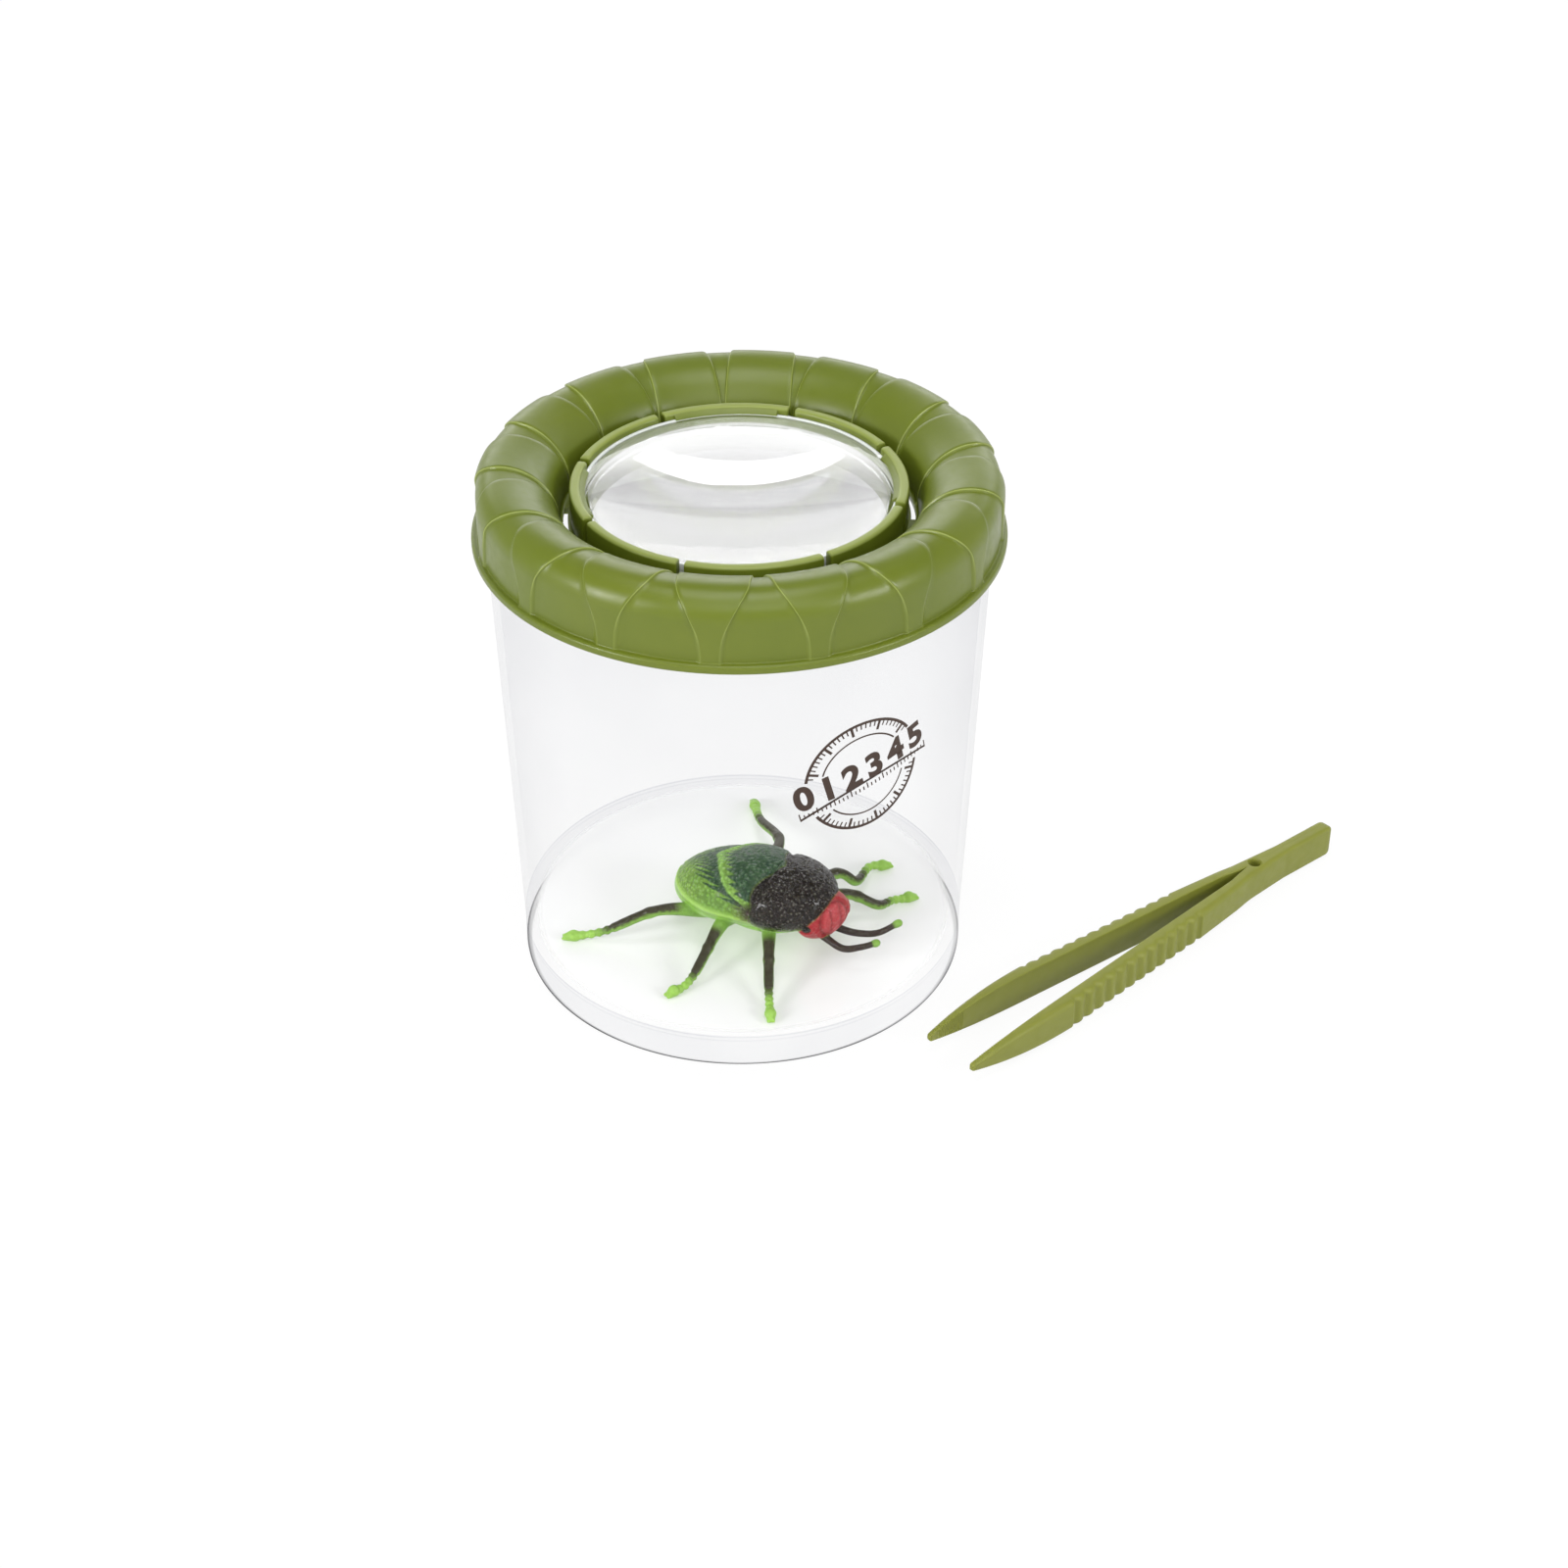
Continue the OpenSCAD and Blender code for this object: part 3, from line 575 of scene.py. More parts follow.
def make_lid():
    points, faces, edges = lid_grid()
    shell = mesh_object("lid_shell", points, faces, 50)
    put_values(shell.data, "edge", edges)
    fingers = []
    slit_width, hook_short = 1.7, 4.4
    slit = degrees(slit_width / 35.25)
    post = rounded([(34.1, 111.2, 0), (36.4, 111.2, 0), (36.4, 120, 0.7), (34.1, 120, 0.7)])
    hook = rounded([(35, 118, 0), (35, 119.6, 0), (34.1, 119.55, 0.2), (33, 118.7, 0.3), (33, 118, 0.2)], 3)
    stop = [(40.9, 116), (55.1, 116), (55.1, 119), (53.6, 122.2), (50.7, 123.3), (46, 122.2), (42.5, 119.2)]
    # The front and back fingers are wider than the others
    gaps = LID_TURN + 90 + np.array([-24.9, 24.9, 68.3, 111.7, 155.1, 204.9, 248.3, 291.7, 335.1])
    for i in range(8):
        middle, sweep = (gaps[i] + gaps[i + 1]) / 2, gaps[i + 1] - gaps[i]
        fingers.append(arc_bar(f"finger_{i}", post, middle, sweep - slit, 24, 0.25))
        if i % 2 == 0:
            hook_sweep = sweep - degrees((slit_width + hook_short) / 34.1)
            fingers.append(arc_bar(f"hook_{i}", hook, middle, hook_sweep, 20, 0.25))
    stops = [arc_bar(f"stop_{i}", stop, (i + 0.5) * 45 + LID_TURN, degrees(1.2 / 50), 2, 0.1)
             for i in range(8)]
    for bar in fingers + stops:
        x, y, z = points_of(bar.data).T
        # Painted highlight along the fingers' inner top edges
        put_values(bar.data, "edge", smooth(119.2, 120, z) * smooth(33.5, 34.5, np.hypot(x, y)) * 0.7)
    lid = joined("lid_with_fingers", [shell] + fingers + stops)
    soften(lid.data, 42)
    paint = Paint("olive_green_plastic", Roughness=0.4, IOR=1.49, Specular_IOR_Level=0.42,
                  Subsurface_Weight=0.06, Subsurface_Scale=0.001, Subsurface_Radius=(1.0, 1.2, 0.3))
    tone = paint.mix(paint.noise(6, 4), linear(93, 105, 24), linear(100, 111, 28))
    tone = paint.mix(paint.ramp(paint.noise(30, 2), 0.35, 0.65, 0, 0.35), tone, linear(85, 100, 21))
    waves = paint.bump(paint.noise(1.6, 3), 0.08, 0.1)
    # The edge share paints a lighter green highlight on petal edges and finger tops
    paint.to_shader(Base_Color=paint.mix(paint.value_of("edge"), tone, linear(144, 155, 80)),
                    Roughness=paint.ramp(paint.noise(2.5, 4), 0.3, 0.7, 0.3, 0.4),
                    Normal=paint.bump(paint.noise(0.3, 2), 0.14, 0.05, waves))
    lid.data.materials.append(paint.material)
    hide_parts("lid")
    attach(lid, "lid")


# Toy beetle

BEETLE_PLACE, BEETLE_TURN, BEETLE_L = (2.0, -11.0, 7.5), radians(-31), 40.0
# Lumps of the body: place, half sizes, tilt and turn in degrees
BACK = ((-3.04, 0, 12.1), (16.8, 11.214, 7.81), 14, 0)
SHOULDER = ((1.5, 0.3, 13.1), (12.5, 11.3, 8.3), 8, 0)
COLLAR = ((8.4, 0, 13.97), (13.2, 11.55, 7.7), 7, 0)
HEAD = ((18.6, 0.1, 11.5), (4.5, 7.1, 5.9), -15, -17)
CHEST = ((2, 0, 7.92), (12.8, 7.56, 4.4), 0, 0)
HEAD_TURN, EYE_OUT = 0.2967, 6.26
EYES = [(19 + cos(HEAD_TURN) + side * EYE_OUT * sin(HEAD_TURN),
         side * EYE_OUT * cos(HEAD_TURN) - sin(HEAD_TURN), 11.4) for side in (-1, 1)]
# Corners of the legs and feelers, as shares of the beetle's length
LEGS = [
    [(0.3, 0.18, 0.2), (0.43, 0.38, 0.17), (0.57, 0.48, 0.08), (0.6, 0.61, 0.04), (0.68, 0.72, 0.02)],
    [(0.12, 0.2, 0.2), (0.27, 0.52, 0.17), (0.35, 0.62, 0.08), (0.33, 0.82, 0.05), (0.4, 0.92, 0.02)],
    [(-0.1, 0.18, 0.2), (-0.15, 0.58, 0.2), (-0.42, 0.82, 0.12), (-0.62, 1.08, 0.02)],
    [(0.2, -0.14, 0.18), (0.28, -0.28, 0.2), (0.42, -0.52, 0.06), (0.52, -0.67, 0.02)],
    [(-0.04, -0.16, 0.18), (-0.05, -0.28, 0.18), (-0.03, -0.62, 0.05), (-0.08, -0.77, 0.02)],
    [(-0.18, -0.14, 0.16), (-0.42, -0.34, 0.2), (-0.68, -0.52, 0.07), (-0.87, -0.62, 0.02)],
]
FEELERS = [
    [(0.5, 0.06, 0.18), (0.62, 0.1, 0.15), (0.75, 0.14, 0.17), (0.83, 0.25, 0.2)],
    [(0.5, -0.04, 0.17), (0.63, -0.05, 0.14), (0.72, 0, 0.15), (0.78, 0.08, 0.15)],
]
VOXEL_M, NEAR, CHUNK = 0.00022, 4, 20000


def scatter(cell):
    """Three repeatable numbers from 0 to 1 for each cell of a grid"""
    turns = np.array([[127.1, 311.7, 74.7], [269.5, 183.3, 246.1], [113.5, 271.9, 124.6]])
    wave = np.sin(cell @ turns.T) * 43758.5453
    return wave - np.floor(wave)


def pebbles(points, size):
    """Distance to the nearest of seeds that lie about size apart, as a share of size"""
    place = points / size
    base = np.floor(place)
    nearest = np.full(len(place), 9.0)
    for step in itertools.product((-1, 0, 1), repeat=3):
        cell = base + np.array(step)
        seed = cell + 0.5 + 0.7 * (scatter(cell) - 0.5)
        nearest = np.minimum(nearest, np.linalg.norm(seed - place, axis=1))
    return nearest


def cloud(points, size):
    """Soft noise from 0 to 1"""
    place = points / size
    base = np.floor(place)
    part = smooth(0, 1, place - base)
    total = np.zeros(len(place))
    for step in itertools.product((0, 1), repeat=3):
        weight = np.prod(np.where(np.array(step), part, 1 - part), axis=1)
        total += weight * scatter(base + np.array(step))[:, 0]
    return total


def lump(shape):
    """Ellipsoid mesh from its place, half sizes, tilt and turn, in the beetle's own frame"""
    (x, y, z), size, tilt, aside = shape
    made = bmesh.new()
    bmesh.ops.create_icosphere(made, subdivisions=5, radius=1)
    turn = Matrix.Rotation(radians(aside), 4, "Z") @ Matrix.Rotation(radians(-tilt), 4, "Y")
    made.transform(Matrix.Translation((x, y, z)) @ turn @ Matrix.Diagonal((*size, 1)))
    return made


def in_lump(points, shape):
    """Points in a lump's own frame, where its surface is the unit ball"""
    place, size, tilt, aside = shape
    a, b = radians(tilt), radians(aside)
    x, y, z = (points - np.array(place)).T
    x, y = x * cos(b) + y * sin(b), y * cos(b) - x * sin(b)
    along = x * cos(a) + z * sin(a)
    up = z * cos(a) - x * sin(a)
    return np.stack((along / size[0], y / size[1], up / size[2]), axis=1)


def over_lump(points, shape):
    """Rough distance in millimetres over a lump's surface"""
    unit = in_lump(points, shape)
    reach = np.linalg.norm(unit, axis=1)
    slope = np.linalg.norm(unit / np.array(shape[1]), axis=1) / np.maximum(reach, 1e-6)
    return (reach - 1) / slope


def curve_through(corners, steps=14):
    """Smooth path through corners"""
    corners = [np.array(c, float) for c in corners]
    corners = [2 * corners[0] - corners[1]] + corners + [2 * corners[-1] - corners[-2]]
    path = []
    for i in range(1, len(corners) - 2):
        a, b, c, d = corners[i - 1:i + 3]
        for k in range(steps):
            t = k / steps
            path.append(0.5 * (2 * b + (c - a) * t + (2 * a - 5 * b + 4 * c - d) * t ** 2
                               + (3 * b - a - 3 * c + d) * t ** 3))
    return np.array(path + [corners[-2]])


def limb_radius(share, feeler):
    """Radius along a limb, from 0 at its root to 1 at its tip"""
    if feeler:
        return 0.95 - 0.25 * share + 0.25 * smooth(0.9, 0.97, share)
    thigh = 1.7 - 0.5 * smooth(0.1, 0.45, share)
    knee = 0.22 * np.exp(-((share - 0.42) / 0.03) ** 2)
    thin = -0.28 * smooth(0.6, 0.76, share)
    tarsus = share - 0.66
    beads = 0.17 * np.clip(tarsus / 0.04, 0, 1) * np.sin(tarsus * 2 * pi / 0.055) * (share < 0.92)
    foot = 0.5 * np.exp(-((share - 0.955) / 0.035) ** 2)
    return thigh + knee + thin + beads + foot


def tube(made, path, radii, sides=14):
    """Adds a closed tube with round ends to a mesh"""
    tangents = np.gradient(path, axis=0)
    tangents /= np.linalg.norm(tangents, axis=1, keepdims=True)
    cap = (0.5, 0.8, 0.96)
    end_sizes = [sqrt(1 - s * s) for s in cap]
    places = ([path[0] - tangents[0] * radii[0] * s for s in reversed(cap)] + list(path)
              + [path[-1] + tangents[-1] * radii[-1] * s for s in cap])
    sizes = ([radii[0] * s for s in reversed(end_sizes)] + list(radii) + [radii[-1] * s for s in end_sizes])
    aims = [tangents[0]] * len(cap) + list(tangents) + [tangents[-1]] * len(cap)
    side = np.cross(aims[0], (0, 0, 1.0))
    rings = []
    for place, size, aim in zip(places, sizes, aims):
        side = side - aim * (side @ aim)
        side /= np.linalg.norm(side)
        up = np.cross(aim, side)
        rings.append([made.verts.new(place + size * (side * cos(a) + up * sin(a)))
                      for a in np.linspace(0, 2 * pi, sides, endpoint=False)])
    for first, second in zip(rings, rings[1:]):
        for k in range(sides):
            made.faces.new((first[k], first[(k + 1) % sides], second[(k + 1) % sides], second[k]))
    made.faces.new(rings[0][::-1])
    made.faces.new(rings[-1])


def limb_paths():
    """Path, radii and kind of every leg and feeler, in the beetle's own frame"""
    limbs = []
    for shares, feeler in [(s, False) for s in LEGS] + [(s, True) for s in FEELERS]:
        coarse = curve_through(np.array(shares) * BEETLE_L)
        length = np.concatenate(([0], np.cumsum(np.linalg.norm(np.diff(coarse, axis=0), axis=1))))
        fine = np.linspace(0, length[-1], int(length[-1] / 0.3))
        path = np.stack([np.interp(fine, length, coarse[:, k]) for k in range(3)], axis=1)
        share = fine / length[-1]
        radii = limb_radius(share, feeler)
        path[:, 2] = np.maximum(path[:, 2], radii - 0.15)
        limbs.append((path, radii, share, feeler))
    return limbs


def merge(whole, part):
    """Adds a bmesh to another and frees it"""
    mesh = bpy.data.meshes.new("part")
    part.to_mesh(mesh)
    part.free()
    whole.from_mesh(mesh)
    bpy.data.meshes.remove(mesh)


def beetle_solid(limbs):
    """Beetle's body and limbs as one fine mesh, in its own frame in metres"""
    whole = bmesh.new()
    for shape in (BACK, SHOULDER, COLLAR, HEAD, CHEST):
        part = lump(shape)
        if shape is COLLAR:
            lean = radians(15)
            geometry = part.verts[:] + part.edges[:] + part.faces[:]
            bmesh.ops.bisect_plane(part, geom=geometry, plane_co=(2.2, 0, 0),
                                   plane_no=(-cos(lean), 0, sin(lean)), clear_outer=True)
            bmesh.ops.holes_fill(part, edges=[e for e in part.edges if e.is_boundary])
        merge(whole, part)
    for path, radii, share, feeler in limbs:
        tube(whole, path, radii)
        if not feeler:
            toe = path[-1] - path[-4]
            toe /= np.linalg.norm(toe)
            for spread in (-0.7, 0.7):
                turned = np.array((toe[0] - toe[1] * spread, toe[1] + toe[0] * spread, -0.1))
                claw = np.array([path[-1] + turned * s for s in np.linspace(0, 0.9, 7)])
                tube(whole, claw, np.linspace(0.85, 0.45, 7), 10)
    for place in EYES:
        eye = bmesh.new()
        bmesh.ops.create_icosphere(eye, subdivisions=3, radius=1.0, matrix=Matrix.Translation(place))
        merge(whole, eye)
    whole.transform(Matrix.Scale(MM, 4))
    mesh = bpy.data.meshes.new("toy_beetle_skin")
    whole.to_mesh(mesh)
    beetle = link(bpy.data.objects.new("toy_beetle_skin", mesh))
    remesh = beetle.modifiers.new("remesh", "REMESH")
    remesh.mode = "VOXEL"
    remesh.voxel_size = VOXEL_M
    relax = beetle.modifiers.new("relax", "SMOOTH")
    relax.factor = 0.5
    relax.iterations = 3
    apply_modifiers(beetle)
    return beetle


def nearest_limb(points, limbs):
    """Distance over the nearest limb's skin, its place along the limb and whether it is a feeler"""
    best = np.full(len(points), 99.0)
    share_at = np.zeros(len(points))
    feeler_at = np.zeros(len(points), bool)
    for path, radii, share, feeler in limbs:
        low, high = path.min(0) - NEAR, path.max(0) + NEAR
        near = np.where(((points > low) & (points < high)).all(1))[0]
        for chunk in np.array_split(near, max(1, len(near) // CHUNK)):
            gap = np.linalg.norm(points[chunk, None] - path[None], axis=2) - radii[None]
            k = gap.argmin(1)
            value = gap[np.arange(len(chunk)), k]
            won = value < best[chunk]
            best[chunk[won]] = value[won]
            share_at[chunk[won]] = share[k[won]]
            feeler_at[chunk[won]] = feeler
    return best, share_at, feeler_at


def make_beetle():
    limbs = limb_paths()
    beetle = beetle_solid(limbs)
    mesh = beetle.data
    p = points_of(mesh)
    normal = vectors_of(mesh, "normal")
    x, y, z = p.T
    side = np.abs(y)
    turn = np.degrees(np.arctan2(side, z - BACK[0][2]))
    ridge_x = np.interp(turn, [0, 5, 37, 55, 65, 71, 80, 180], [-8.1, -8, -4.9, -2.2, 0.4, 3.8, 6, 6])
    collar_x = np.interp(turn, [0, 18, 34, 48, 60, 73, 88, 180], [8.9, 7.3, 5.9, 5, 4.9, 5.5, 5.8, 6])
    over_limb, along, feeler = nearest_limb(p, limbs)
    over_body = np.minimum.reduce([over_lump(p, s) for s in (BACK, SHOULDER, COLLAR, HEAD, CHEST)])
    on_limb = smooth(-0.5, 0.5, over_body - over_limb)
    head = in_lump(p, HEAD)
    over_head = over_lump(p, HEAD)
    over_collar = over_lump(p, COLLAR)
    on_head = smooth(-0.2, 0.2, over_collar - over_head) * (x > 13) * (1 - on_limb)
    on_collar = smooth(-0.15, 0.15, x - collar_x) * (1 - on_head) * (1 - on_limb)
    on_back = (1 - on_collar) * (1 - on_head) * (1 - on_limb)
    upper = 1 - smooth(84, 96, turn)
    behind = ridge_x - x

    # Relief
    dots = pebbles(p, 0.85)
    bead = np.clip(1 - (dots / 0.55) ** 2, 0, 1)
    fine = pebbles(p + 50, 0.72)
    fine_bead = np.clip(1 - (fine / 0.55) ** 2, 0, 1)
    lift = on_collar * (0.12 * bead - 0.04) * smooth(110, 90, turn)
    lift += on_back * upper * (0.08 * fine_bead)
    lift += on_back * upper * (0.3 * np.exp(-(behind / 0.75) ** 2) + 0.22 * smooth(0.5, -0.5, behind))
    seam = np.exp(-((x - collar_x) / 0.3) ** 2)
    lift -= 0.25 * seam * (1 - on_limb) * (1 - on_head) * smooth(115, 95, turn)
    rim = np.exp(-((turn - 97) / 3.5) ** 2)
    lift += on_back * rim * 0.25 * smooth(8, 2, x)
    plate = np.hypot(head[:, 1] / 0.5, (np.degrees(np.arctan2(head[:, 2], head[:, 0])) - 22) / 42)
    lift += on_head * (0.35 * smooth(1.1, 0.8, plate) - 0.18 * np.exp(-((plate - 1.15) / 0.12) ** 2)
                       + 0.2 * np.exp(-((plate - 1.5) / 0.14) ** 2))
    groove = np.exp(-((np.abs(head[:, 1]) - 0.2) / 0.045) ** 2) * smooth(1.0, 0.8, plate)
    lift -= on_head * 0.14 * groove
    eye_gap = np.minimum(*(np.linalg.norm(p - np.array(place), axis=1) for place in EYES))
    on_eye = smooth(1.25, 1.05, eye_gap)
    lift += on_head * 0.3 * np.exp(-((eye_gap - 1.6) / 0.3) ** 2)
    p = p + normal * lift[:, None]
    p[:, 2] = np.maximum(p[:, 2], 0.0)

    # Colours, each laid over the ones before it by its share
    speckle = cloud(p, 0.5)
    drift = cloud(p, 2.6)
    wave = np.abs((turn / 7.8 + 0.2 * drift) % 1 - 0.5) * 2
    reach = np.interp(turn, [0, 25, 50, 68, 80], [12, 12, 10.8, 9, 4]) * (1.08 - 0.86 * wave)
    reach = reach + 0.3 * (speckle - 0.5)
    rear = smooth(0.7, 1.1, behind) * smooth(0.25, -0.25, behind - reach) * smooth(84, 76, turn)
    wave_two = np.abs((turn / 9 + 0.3 * drift + 0.3) % 1 - 0.5) * 2
    front = smooth(-0.5, 0.5, -behind - 1.2 - 2.4 * wave_two) * smooth(74, 66, turn)
    dark = on_back * np.clip(rear + front, 0, 1)
    ridge = on_back * np.exp(-((behind + 0.1) / 0.7) ** 2) * smooth(76, 68, turn)
    brown = on_back * smooth(-3, 5, x - 0.02 * turn) * smooth(64, 78, turn) * smooth(108, 90, turn)
    top = smooth(-0.1, 0.6, normal[:, 2] + 0.35 * (speckle - 0.5))
    shin = smooth(0.18, 0.27, along) * smooth(0.82, 0.68, along)
    coats = [
        ((146, 184, 76), smooth(0.3, 0.8, drift) * 0.6),
        ((122, 164, 70), on_limb * 0.7),
        ((172, 214, 110), on_back * rim * 0.8),
        ((146, 200, 84), smooth(98, 112, turn) * (1 - on_limb) * 0.8),
        # Painted shade between the back's fine beads
        ((70, 120, 52), on_back * upper * smooth(0.6, 0.2, fine_bead) * 0.25),
        ((30, 66, 46), dark * (0.86 + 0.14 * speckle)),
        # Painted highlights on the tops of the fine beads in the dark zones
        ((150, 205, 140), dark * smooth(0.75, 1, fine_bead) * 0.35),
        ((150, 200, 92), ridge),
        ((64, 42, 34), np.clip(brown * 1.25 - 0.45 * speckle, 0, 1)),
        ((30, 13, 12), on_collar * smooth(106 + 10 * (speckle - 0.5), 88, turn)),
        ((112, 128, 70), on_collar * smooth(0.5, 0.2, x - collar_x) * 0.7),
        ((168, 34, 44), on_head),
        # Painted highlight on the raised face plate
        ((196, 78, 84), on_head * smooth(1.05, 0.85, plate) * 0.6),
        # Painted shade in the plate's grooves and in the groove round its edge
        ((112, 24, 32), on_head * groove * 0.6),
        ((116, 26, 34), on_head * np.exp(-((plate - 1.15) / 0.1) ** 2) * 0.6),
        ((14, 10, 10), on_eye),
        ((44, 28, 24), on_limb * ~feeler * top * shin * 0.96),
        ((152, 198, 84), on_limb * ~feeler * smooth(0.74, 0.84, along) * 0.8),
        ((50, 36, 32), on_limb * feeler * smooth(0.97, 0.88, along)),
    ]
    color = np.tile(linear(122, 166, 62), (len(p), 1))
    for rgb, share in coats:
        color = color * (1 - share[:, None]) + np.array(linear(*rgb)) * share[:, None]

    wrap = np.array([[cos(BEETLE_TURN), -sin(BEETLE_TURN), 0],
                     [sin(BEETLE_TURN), cos(BEETLE_TURN), 0], [0, 0, 1]])
    mesh.vertices.foreach_set("co", ((p @ wrap.T + np.array(BEETLE_PLACE)) * MM).ravel())
    mesh.update()
    soften(mesh)
    put_values(mesh, "coat", color)
    put_values(mesh, "gloss", np.clip(on_eye + 0.55 * on_collar + 0.35 * on_back, 0, 1))
    pebbly = on_collar * smooth(112, 98, turn) + on_back * upper * 0.65 + 0.25 * on_head
    put_values(mesh, "pebbled", np.clip(pebbly, 0, 1))

    paint = Paint("painted_rubber", IOR=1.5, Specular_IOR_Level=0.3,
                  Subsurface_Weight=0.12, Subsurface_Scale=0.0006, Subsurface_Radius=(0.8, 1.0, 0.3))
    coat = paint.value_of("coat", "Color")
    worn = paint.mix(paint.ramp(paint.noise(0.6, 3), 0.4, 0.75, 0, 0.07), coat, linear(150, 170, 120))
    cells = paint.node("TexVoronoi", {"Vector": paint.place, "Scale": 1 / (0.95 * MM)}).outputs["Distance"]
    pebbled = paint.value_of("pebbled")
    # Painted shade in the gaps between pebbles and painted glints on their tops
    gap = paint.math("MULTIPLY", pebbled, paint.ramp(cells, 0.32, 0.62, 0, 0.8))
    painted_glint = paint.math("MULTIPLY", pebbled, paint.ramp(cells, 0.12, 0.3, 0.3, 0))
    skin = paint.mix(gap, worn, (0.3, 0.3, 0.3, 1), "MULTIPLY")
    skin = paint.mix(painted_glint, skin, paint.mix(0.5, worn, linear(214, 220, 206)))
    strength = paint.ramp(pebbled, 0, 1, 0.25, 1.0)
    paint.to_shader(Base_Color=skin, Roughness=paint.ramp(paint.value_of("gloss"), 0, 1, 0.38, 0.12),
                    Normal=paint.bump(paint.ramp(cells, 0.05, 0.6, 1, 0), strength, 0.4))
    mesh.materials.clear()
    mesh.materials.append(paint.material)
    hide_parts("toy_beetle")
    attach(beetle, "beetle")


# Tweezers

FORK, TWEEZERS_TURN = (120.4, 10.6, 0.0), radians(40)
ARM_L, TAIL_L, THICK, SPREAD = 98.0, 29.0, 8.3, radians(4.1)
GRIP_W, TIP_W, SLIT_W, TIP_BEND = 4.1, 1.3, 0.7, 1.5
RIB_START, RIB_PITCH, RIBS, TAIL_LEAN, END_R = 24.4, 3.7, 12, radians(1.4), 2.2
GROOVE_START, GROOVE_PITCH, GROOVES, BIT_R = 3, 0.6, 12, 1.45
BLADE = RIB_START + (RIBS - 0.25) * RIB_PITCH


def arm_section(s):
    """Inner face, outer face and half height of a tweezers half at a distance s in front of the fork"""
    if s < 0:
        outer = np.interp(-s, [0, 12, TAIL_L], [3.0, 1.9, 1.9])
        end = max(0.0, -s - (TAIL_L - END_R)) / END_R
        shrink = 1 - sqrt(max(0.0, 1 - min(1, end) ** 2))
        return 0.0, max(0.12, outer - 1.7 * shrink), THICK / 2 - END_R * shrink
    share = max(0.0, (s - BLADE) / (ARM_L - BLADE))
    inner = np.interp(s, [0, 7], [0, SLIT_W]) - TIP_BEND * share ** 2
    outer = np.interp(s, [0, RIB_START - 2.8], [3.0, GRIP_W])
    if s >= BLADE:
        outer = inner + GRIP_W - SLIT_W - (GRIP_W - SLIT_W - TIP_W) * share
    half = (THICK - (THICK - 1.6) * share ** 2.2) / 2
    grip = smooth(RIB_START - 2.9, RIB_START - 2.4, s) * smooth(BLADE + 0.3, BLADE - 0.6, s)
    wave = 0.5 - 0.5 * cos(2 * pi * (s - RIB_START) / RIB_PITCH)
    outer -= float(grip) * 0.7 * wave ** 1.5
    back = ARM_L - s
    if GROOVE_START - 0.1 < back < GROOVE_START + GROOVES * GROOVE_PITCH:
        inner += 0.2 * abs((back - GROOVE_START) / GROOVE_PITCH % 1 - 0.5) * 2 - 0.1
    if back < TIP_W / 2:
        close = sqrt(max(0.02, 1 - (1 - back / (TIP_W / 2)) ** 2))
        middle = (inner + outer) / 2
        inner, outer, half = middle - TIP_W / 2 * close, middle + TIP_W / 2 * close, half * close
    return float(inner), float(outer), float(half)


def make_half(name, mirror):
    """One half of the tweezers from the tail's end to the arm's tip, which bends at the fork"""
    tail_end = -TAIL_L + END_R - END_R * np.cos(np.linspace(0, pi / 2, 9))
    stations = np.concatenate((tail_end, np.linspace(-TAIL_L + END_R, 0, 50)[1:], np.arange(0.4, 20, 0.5),
                               np.arange(20, BLADE + 1, 0.16), np.arange(BLADE + 1, ARM_L - 10.5, 0.4),
                               np.arange(ARM_L - 10.5, ARM_L - 2.8, 0.06),
                               np.linspace(ARM_L - 2.75, ARM_L - 0.7, 9),
                               ARM_L - TIP_W / 2 + TIP_W / 2 * np.sin(np.linspace(0.1, pi / 2, 8))))
    rings = []
    for s in stations:
        inner, outer, half = arm_section(s)
        soft = min(1.5, (outer - inner) * 0.45, half * 0.6)
        edge = max(0.001, min(0.25, (outer - inner) * 0.2) if s > 0 else 0.0)
        outline = rounded([(inner, -half, edge), (outer, -half, soft), (outer, half, soft),
                           (inner, half, edge)], 6)
        w = float(smooth(-2.0, 7.0, s)) * SPREAD
        rings.append([])
        for y, z in outline:
            px, py = -s * cos(w) + y * sin(w), y * cos(w) + s * sin(w)
            rings[-1].append((px, py * mirror - max(0.0, px) * tan(TAIL_LEAN), z + THICK / 2))
    turn = Matrix.Translation(Vector(FORK) * MM) @ Matrix.Rotation(TWEEZERS_TURN, 4, "Z")
    half_piece = loft(name, rings, flipped=mirror < 0)
    lower = [(0, -1), (BIT_R + 0.5, -1), (BIT_R + 0.5, -0.2), (BIT_R + 0.15, 0.15), (BIT_R, 0.5)]
    drill = revolved("drill", lower + [(r, THICK - z) for r, z in reversed(lower)], 48)
    drill.data.transform(Matrix.Translation((2.8 * MM, 0, 0)))
    cut = half_piece.modifiers.new("cut", "BOOLEAN")
    cut.operation = "DIFFERENCE"
    cut.solver = "EXACT"
    cut.object = drill
    apply_modifiers(half_piece)
    bpy.data.objects.remove(drill)
    half_piece.data.transform(turn)
    soften(half_piece.data, 32)
    half_piece.data.materials.clear()
    half_piece.data.materials.append(bpy.data.materials["olive_plastic"])
    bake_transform(half_piece)
    return half_piece


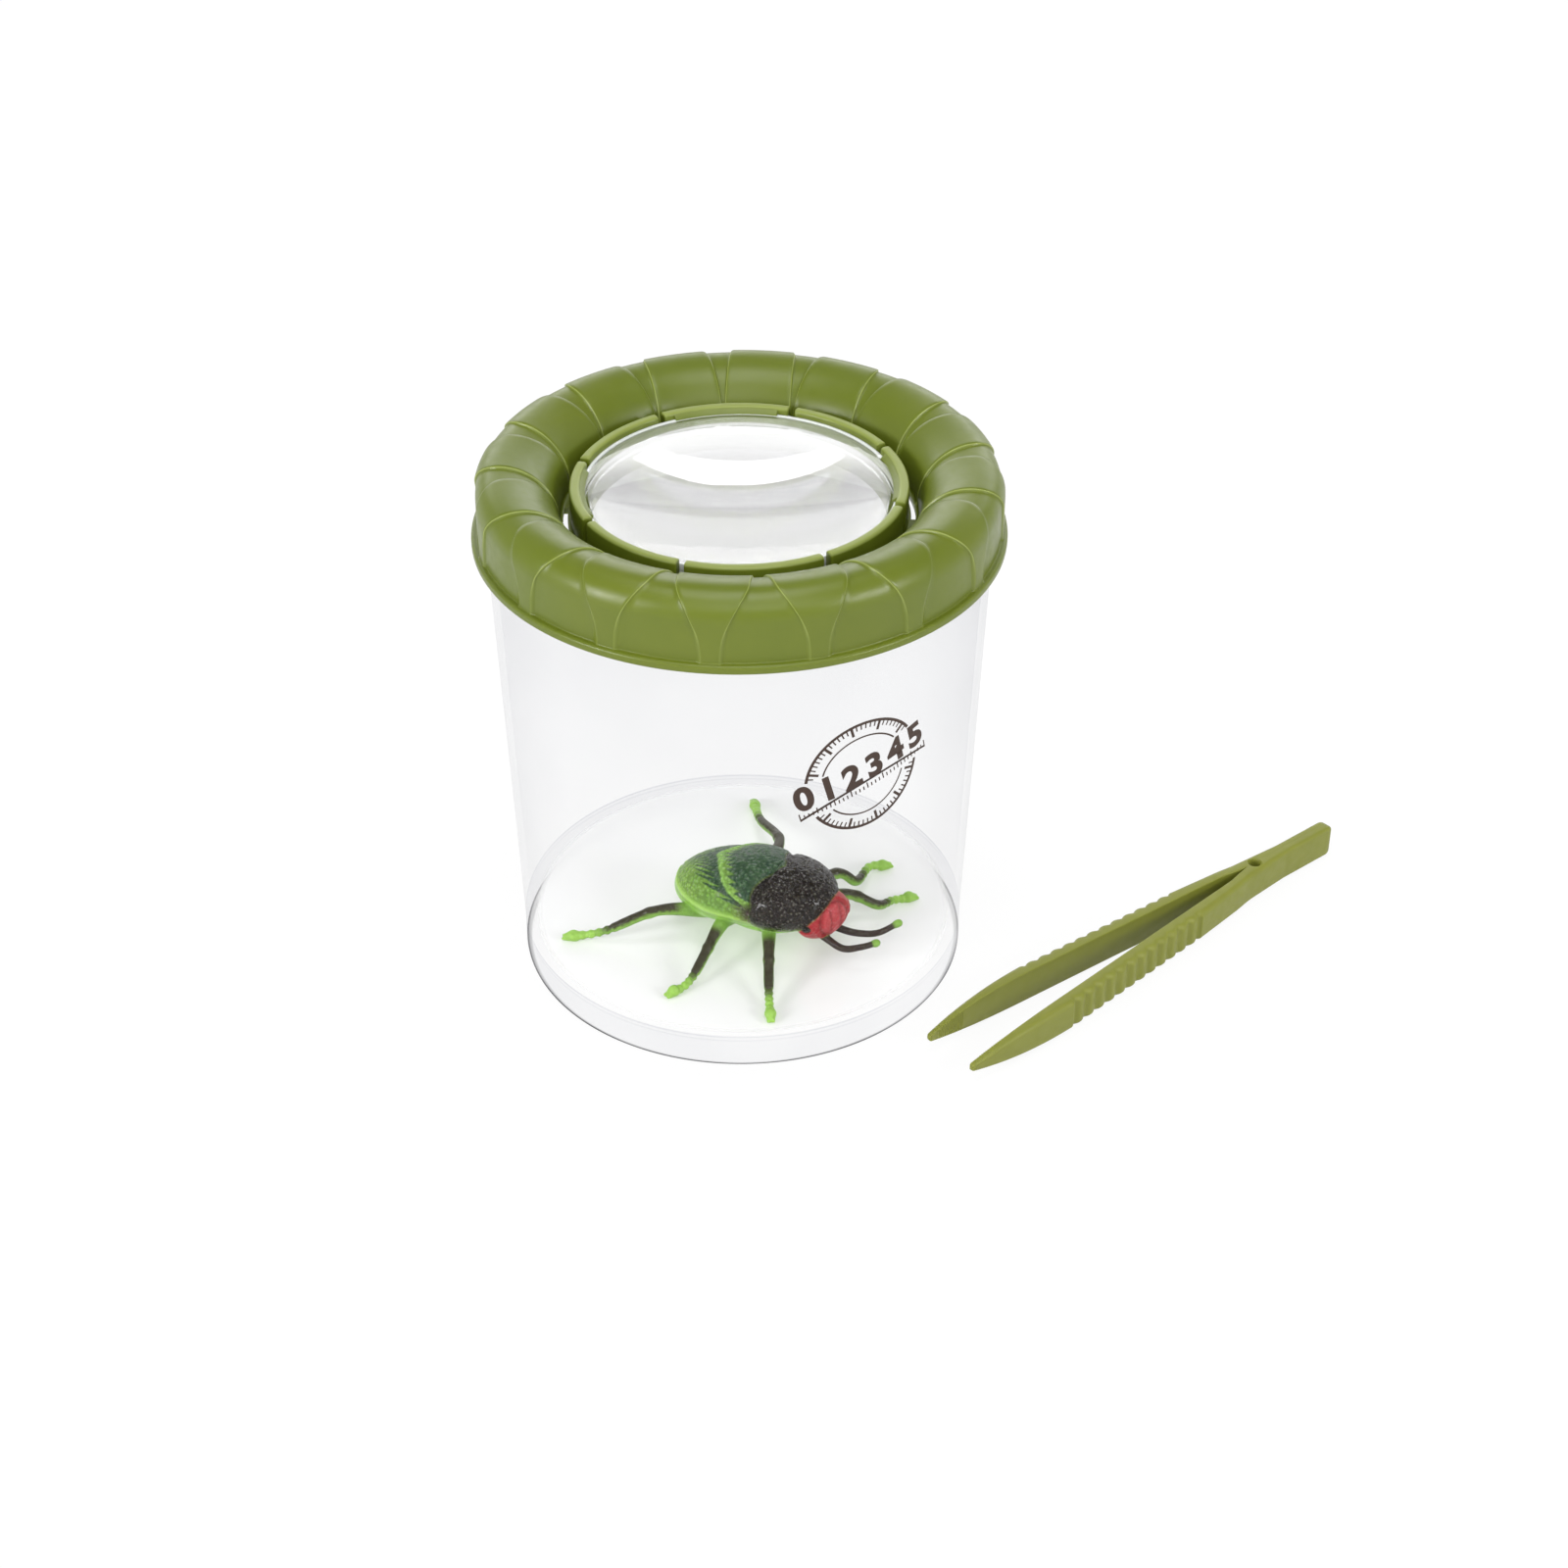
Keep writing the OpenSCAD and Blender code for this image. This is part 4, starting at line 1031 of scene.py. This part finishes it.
def make_tweezers():
    paint = Paint("olive_plastic", Roughness=0.48, IOR=1.49, Specular_IOR_Level=0.45,
                  Subsurface_Weight=0.25, Subsurface_Scale=0.002, Subsurface_Radius=(1.0, 1.1, 0.3))
    tone = paint.mix(paint.noise(5, 4), linear(116, 120, 38), linear(124, 128, 46))
    paint.to_shader(Base_Color=tone,
                    Roughness=paint.ramp(paint.noise(2, 4), 0.3, 0.7, 0.42, 0.55),
                    Normal=paint.bump(paint.noise(0.3, 2), 0.3, 0.04))
    far = make_half("tweezers_far_half", 1)
    near = make_half("tweezers_near_half", -1)
    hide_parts("tweezers_far_arm", "tweezers_tail")
    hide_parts("tweezers_near_arm", "tweezers_tail")


# Printed dial

# The dial's place and tilt, how far the print stands off the wall, and half its plain middle strip
DIAL_TURN, DIAL_Z, DIAL_TILT, PRINT_LIFT, STRIP = radians(-61.3), 76.0, radians(16), 0.06, 4.9
RINGS, TICKS, TICK_END, RULER, DIGITS, DIGIT_PITCH = ((13.1, 13.8), (9.8, 10.2)), 72, 13.2, 16, 6, 5.6


def wrap_on_jar(points):
    """Flat points of the dial in millimetres, laid on the jar's wall"""
    made = []
    for u, v in points:
        across = u * cos(DIAL_TILT) - v * sin(DIAL_TILT)
        z = DIAL_Z + u * sin(DIAL_TILT) + v * cos(DIAL_TILT)
        r = jar_radius(z) + PRINT_LIFT
        a = DIAL_TURN + across / r
        made.append((r * cos(a), r * sin(a), z))
    return made


def make_dial():
    points, faces = [], []

    def add_strip(lower, upper):
        start = len(points)
        for a, b in zip(lower, upper):
            points.extend((a, b))
        for k in range(len(lower) - 1):
            i = start + 2 * k
            faces.append((i, i + 2, i + 3, i + 1))

    # Rings and ticks above and below the strip that carries the numbers
    for inner, outer in RINGS:
        for side in (0, pi):
            start = asin(STRIP / outer)
            turns = np.linspace(start, pi - start, 60) + side
            add_strip([(inner * cos(a), inner * sin(a)) for a in turns],
                      [(outer * cos(a), outer * sin(a)) for a in turns])
    for k in range(TICKS):
        a = 2 * pi * k / TICKS
        if abs(sin(a)) * RINGS[0][0] < STRIP + 0.3:
            continue
        start, half = (11.0, 0.32) if k % 6 == 0 else (12.0, 0.17)
        along, across = np.array((cos(a), sin(a))), np.array((-sin(a), cos(a))) * half
        add_strip([along * start - across, along * TICK_END - across],
                  [along * start + across, along * TICK_END + across])
    # A ruler's line with its own ticks, and the numbers over it
    for k in range(-RULER, RULER + 1):
        top = -3.9 + (1.5 if k % 4 == 0 else 0.9)
        add_strip([(k - 0.15, -4.0), (k - 0.15, top)], [(k + 0.15, -4.0), (k + 0.15, top)])
    add_strip([(-RULER - 0.15, -4.5), (RULER + 0.15, -4.5)], [(-RULER - 0.15, -3.9), (RULER + 0.15, -3.9)])
    for k in range(DIGITS):
        data = bpy.data.curves.new(f"number_{k}", "FONT")
        data.body = str(k)
        data.size = 8.4
        data.offset = 0.36
        data.align_x = "CENTER"
        text = link(bpy.data.objects.new(f"number_{k}", data))
        bpy.context.view_layer.update()
        mesh = made_mesh(text)
        start = len(points)
        centre = (k - (DIGITS - 1) / 2) * DIGIT_PITCH
        points.extend((v.co.x + centre, v.co.y - 1.7) for v in mesh.vertices)
        faces.extend(tuple(start + i for i in f.vertices) for f in mesh.polygons)
        bpy.data.objects.remove(text)
    dial = mesh_object("printed_dial", wrap_on_jar(points), faces)
    paint = Paint("brown_print", Roughness=0.5)
    paint.to_shader(Base_Color=paint.mix(paint.noise(0.8), linear(46, 28, 16), linear(60, 38, 24)))
    dial.data.materials.append(paint.material)
    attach(dial, "jar")


make_camera()
make_world()
make_floor()
for lamp in LAMPS:
    make_lamp(*lamp)
make_jar()
make_lens()
make_lid()
make_beetle()
make_tweezers()
make_dial()

SCENE.view_settings.view_transform = "Standard"
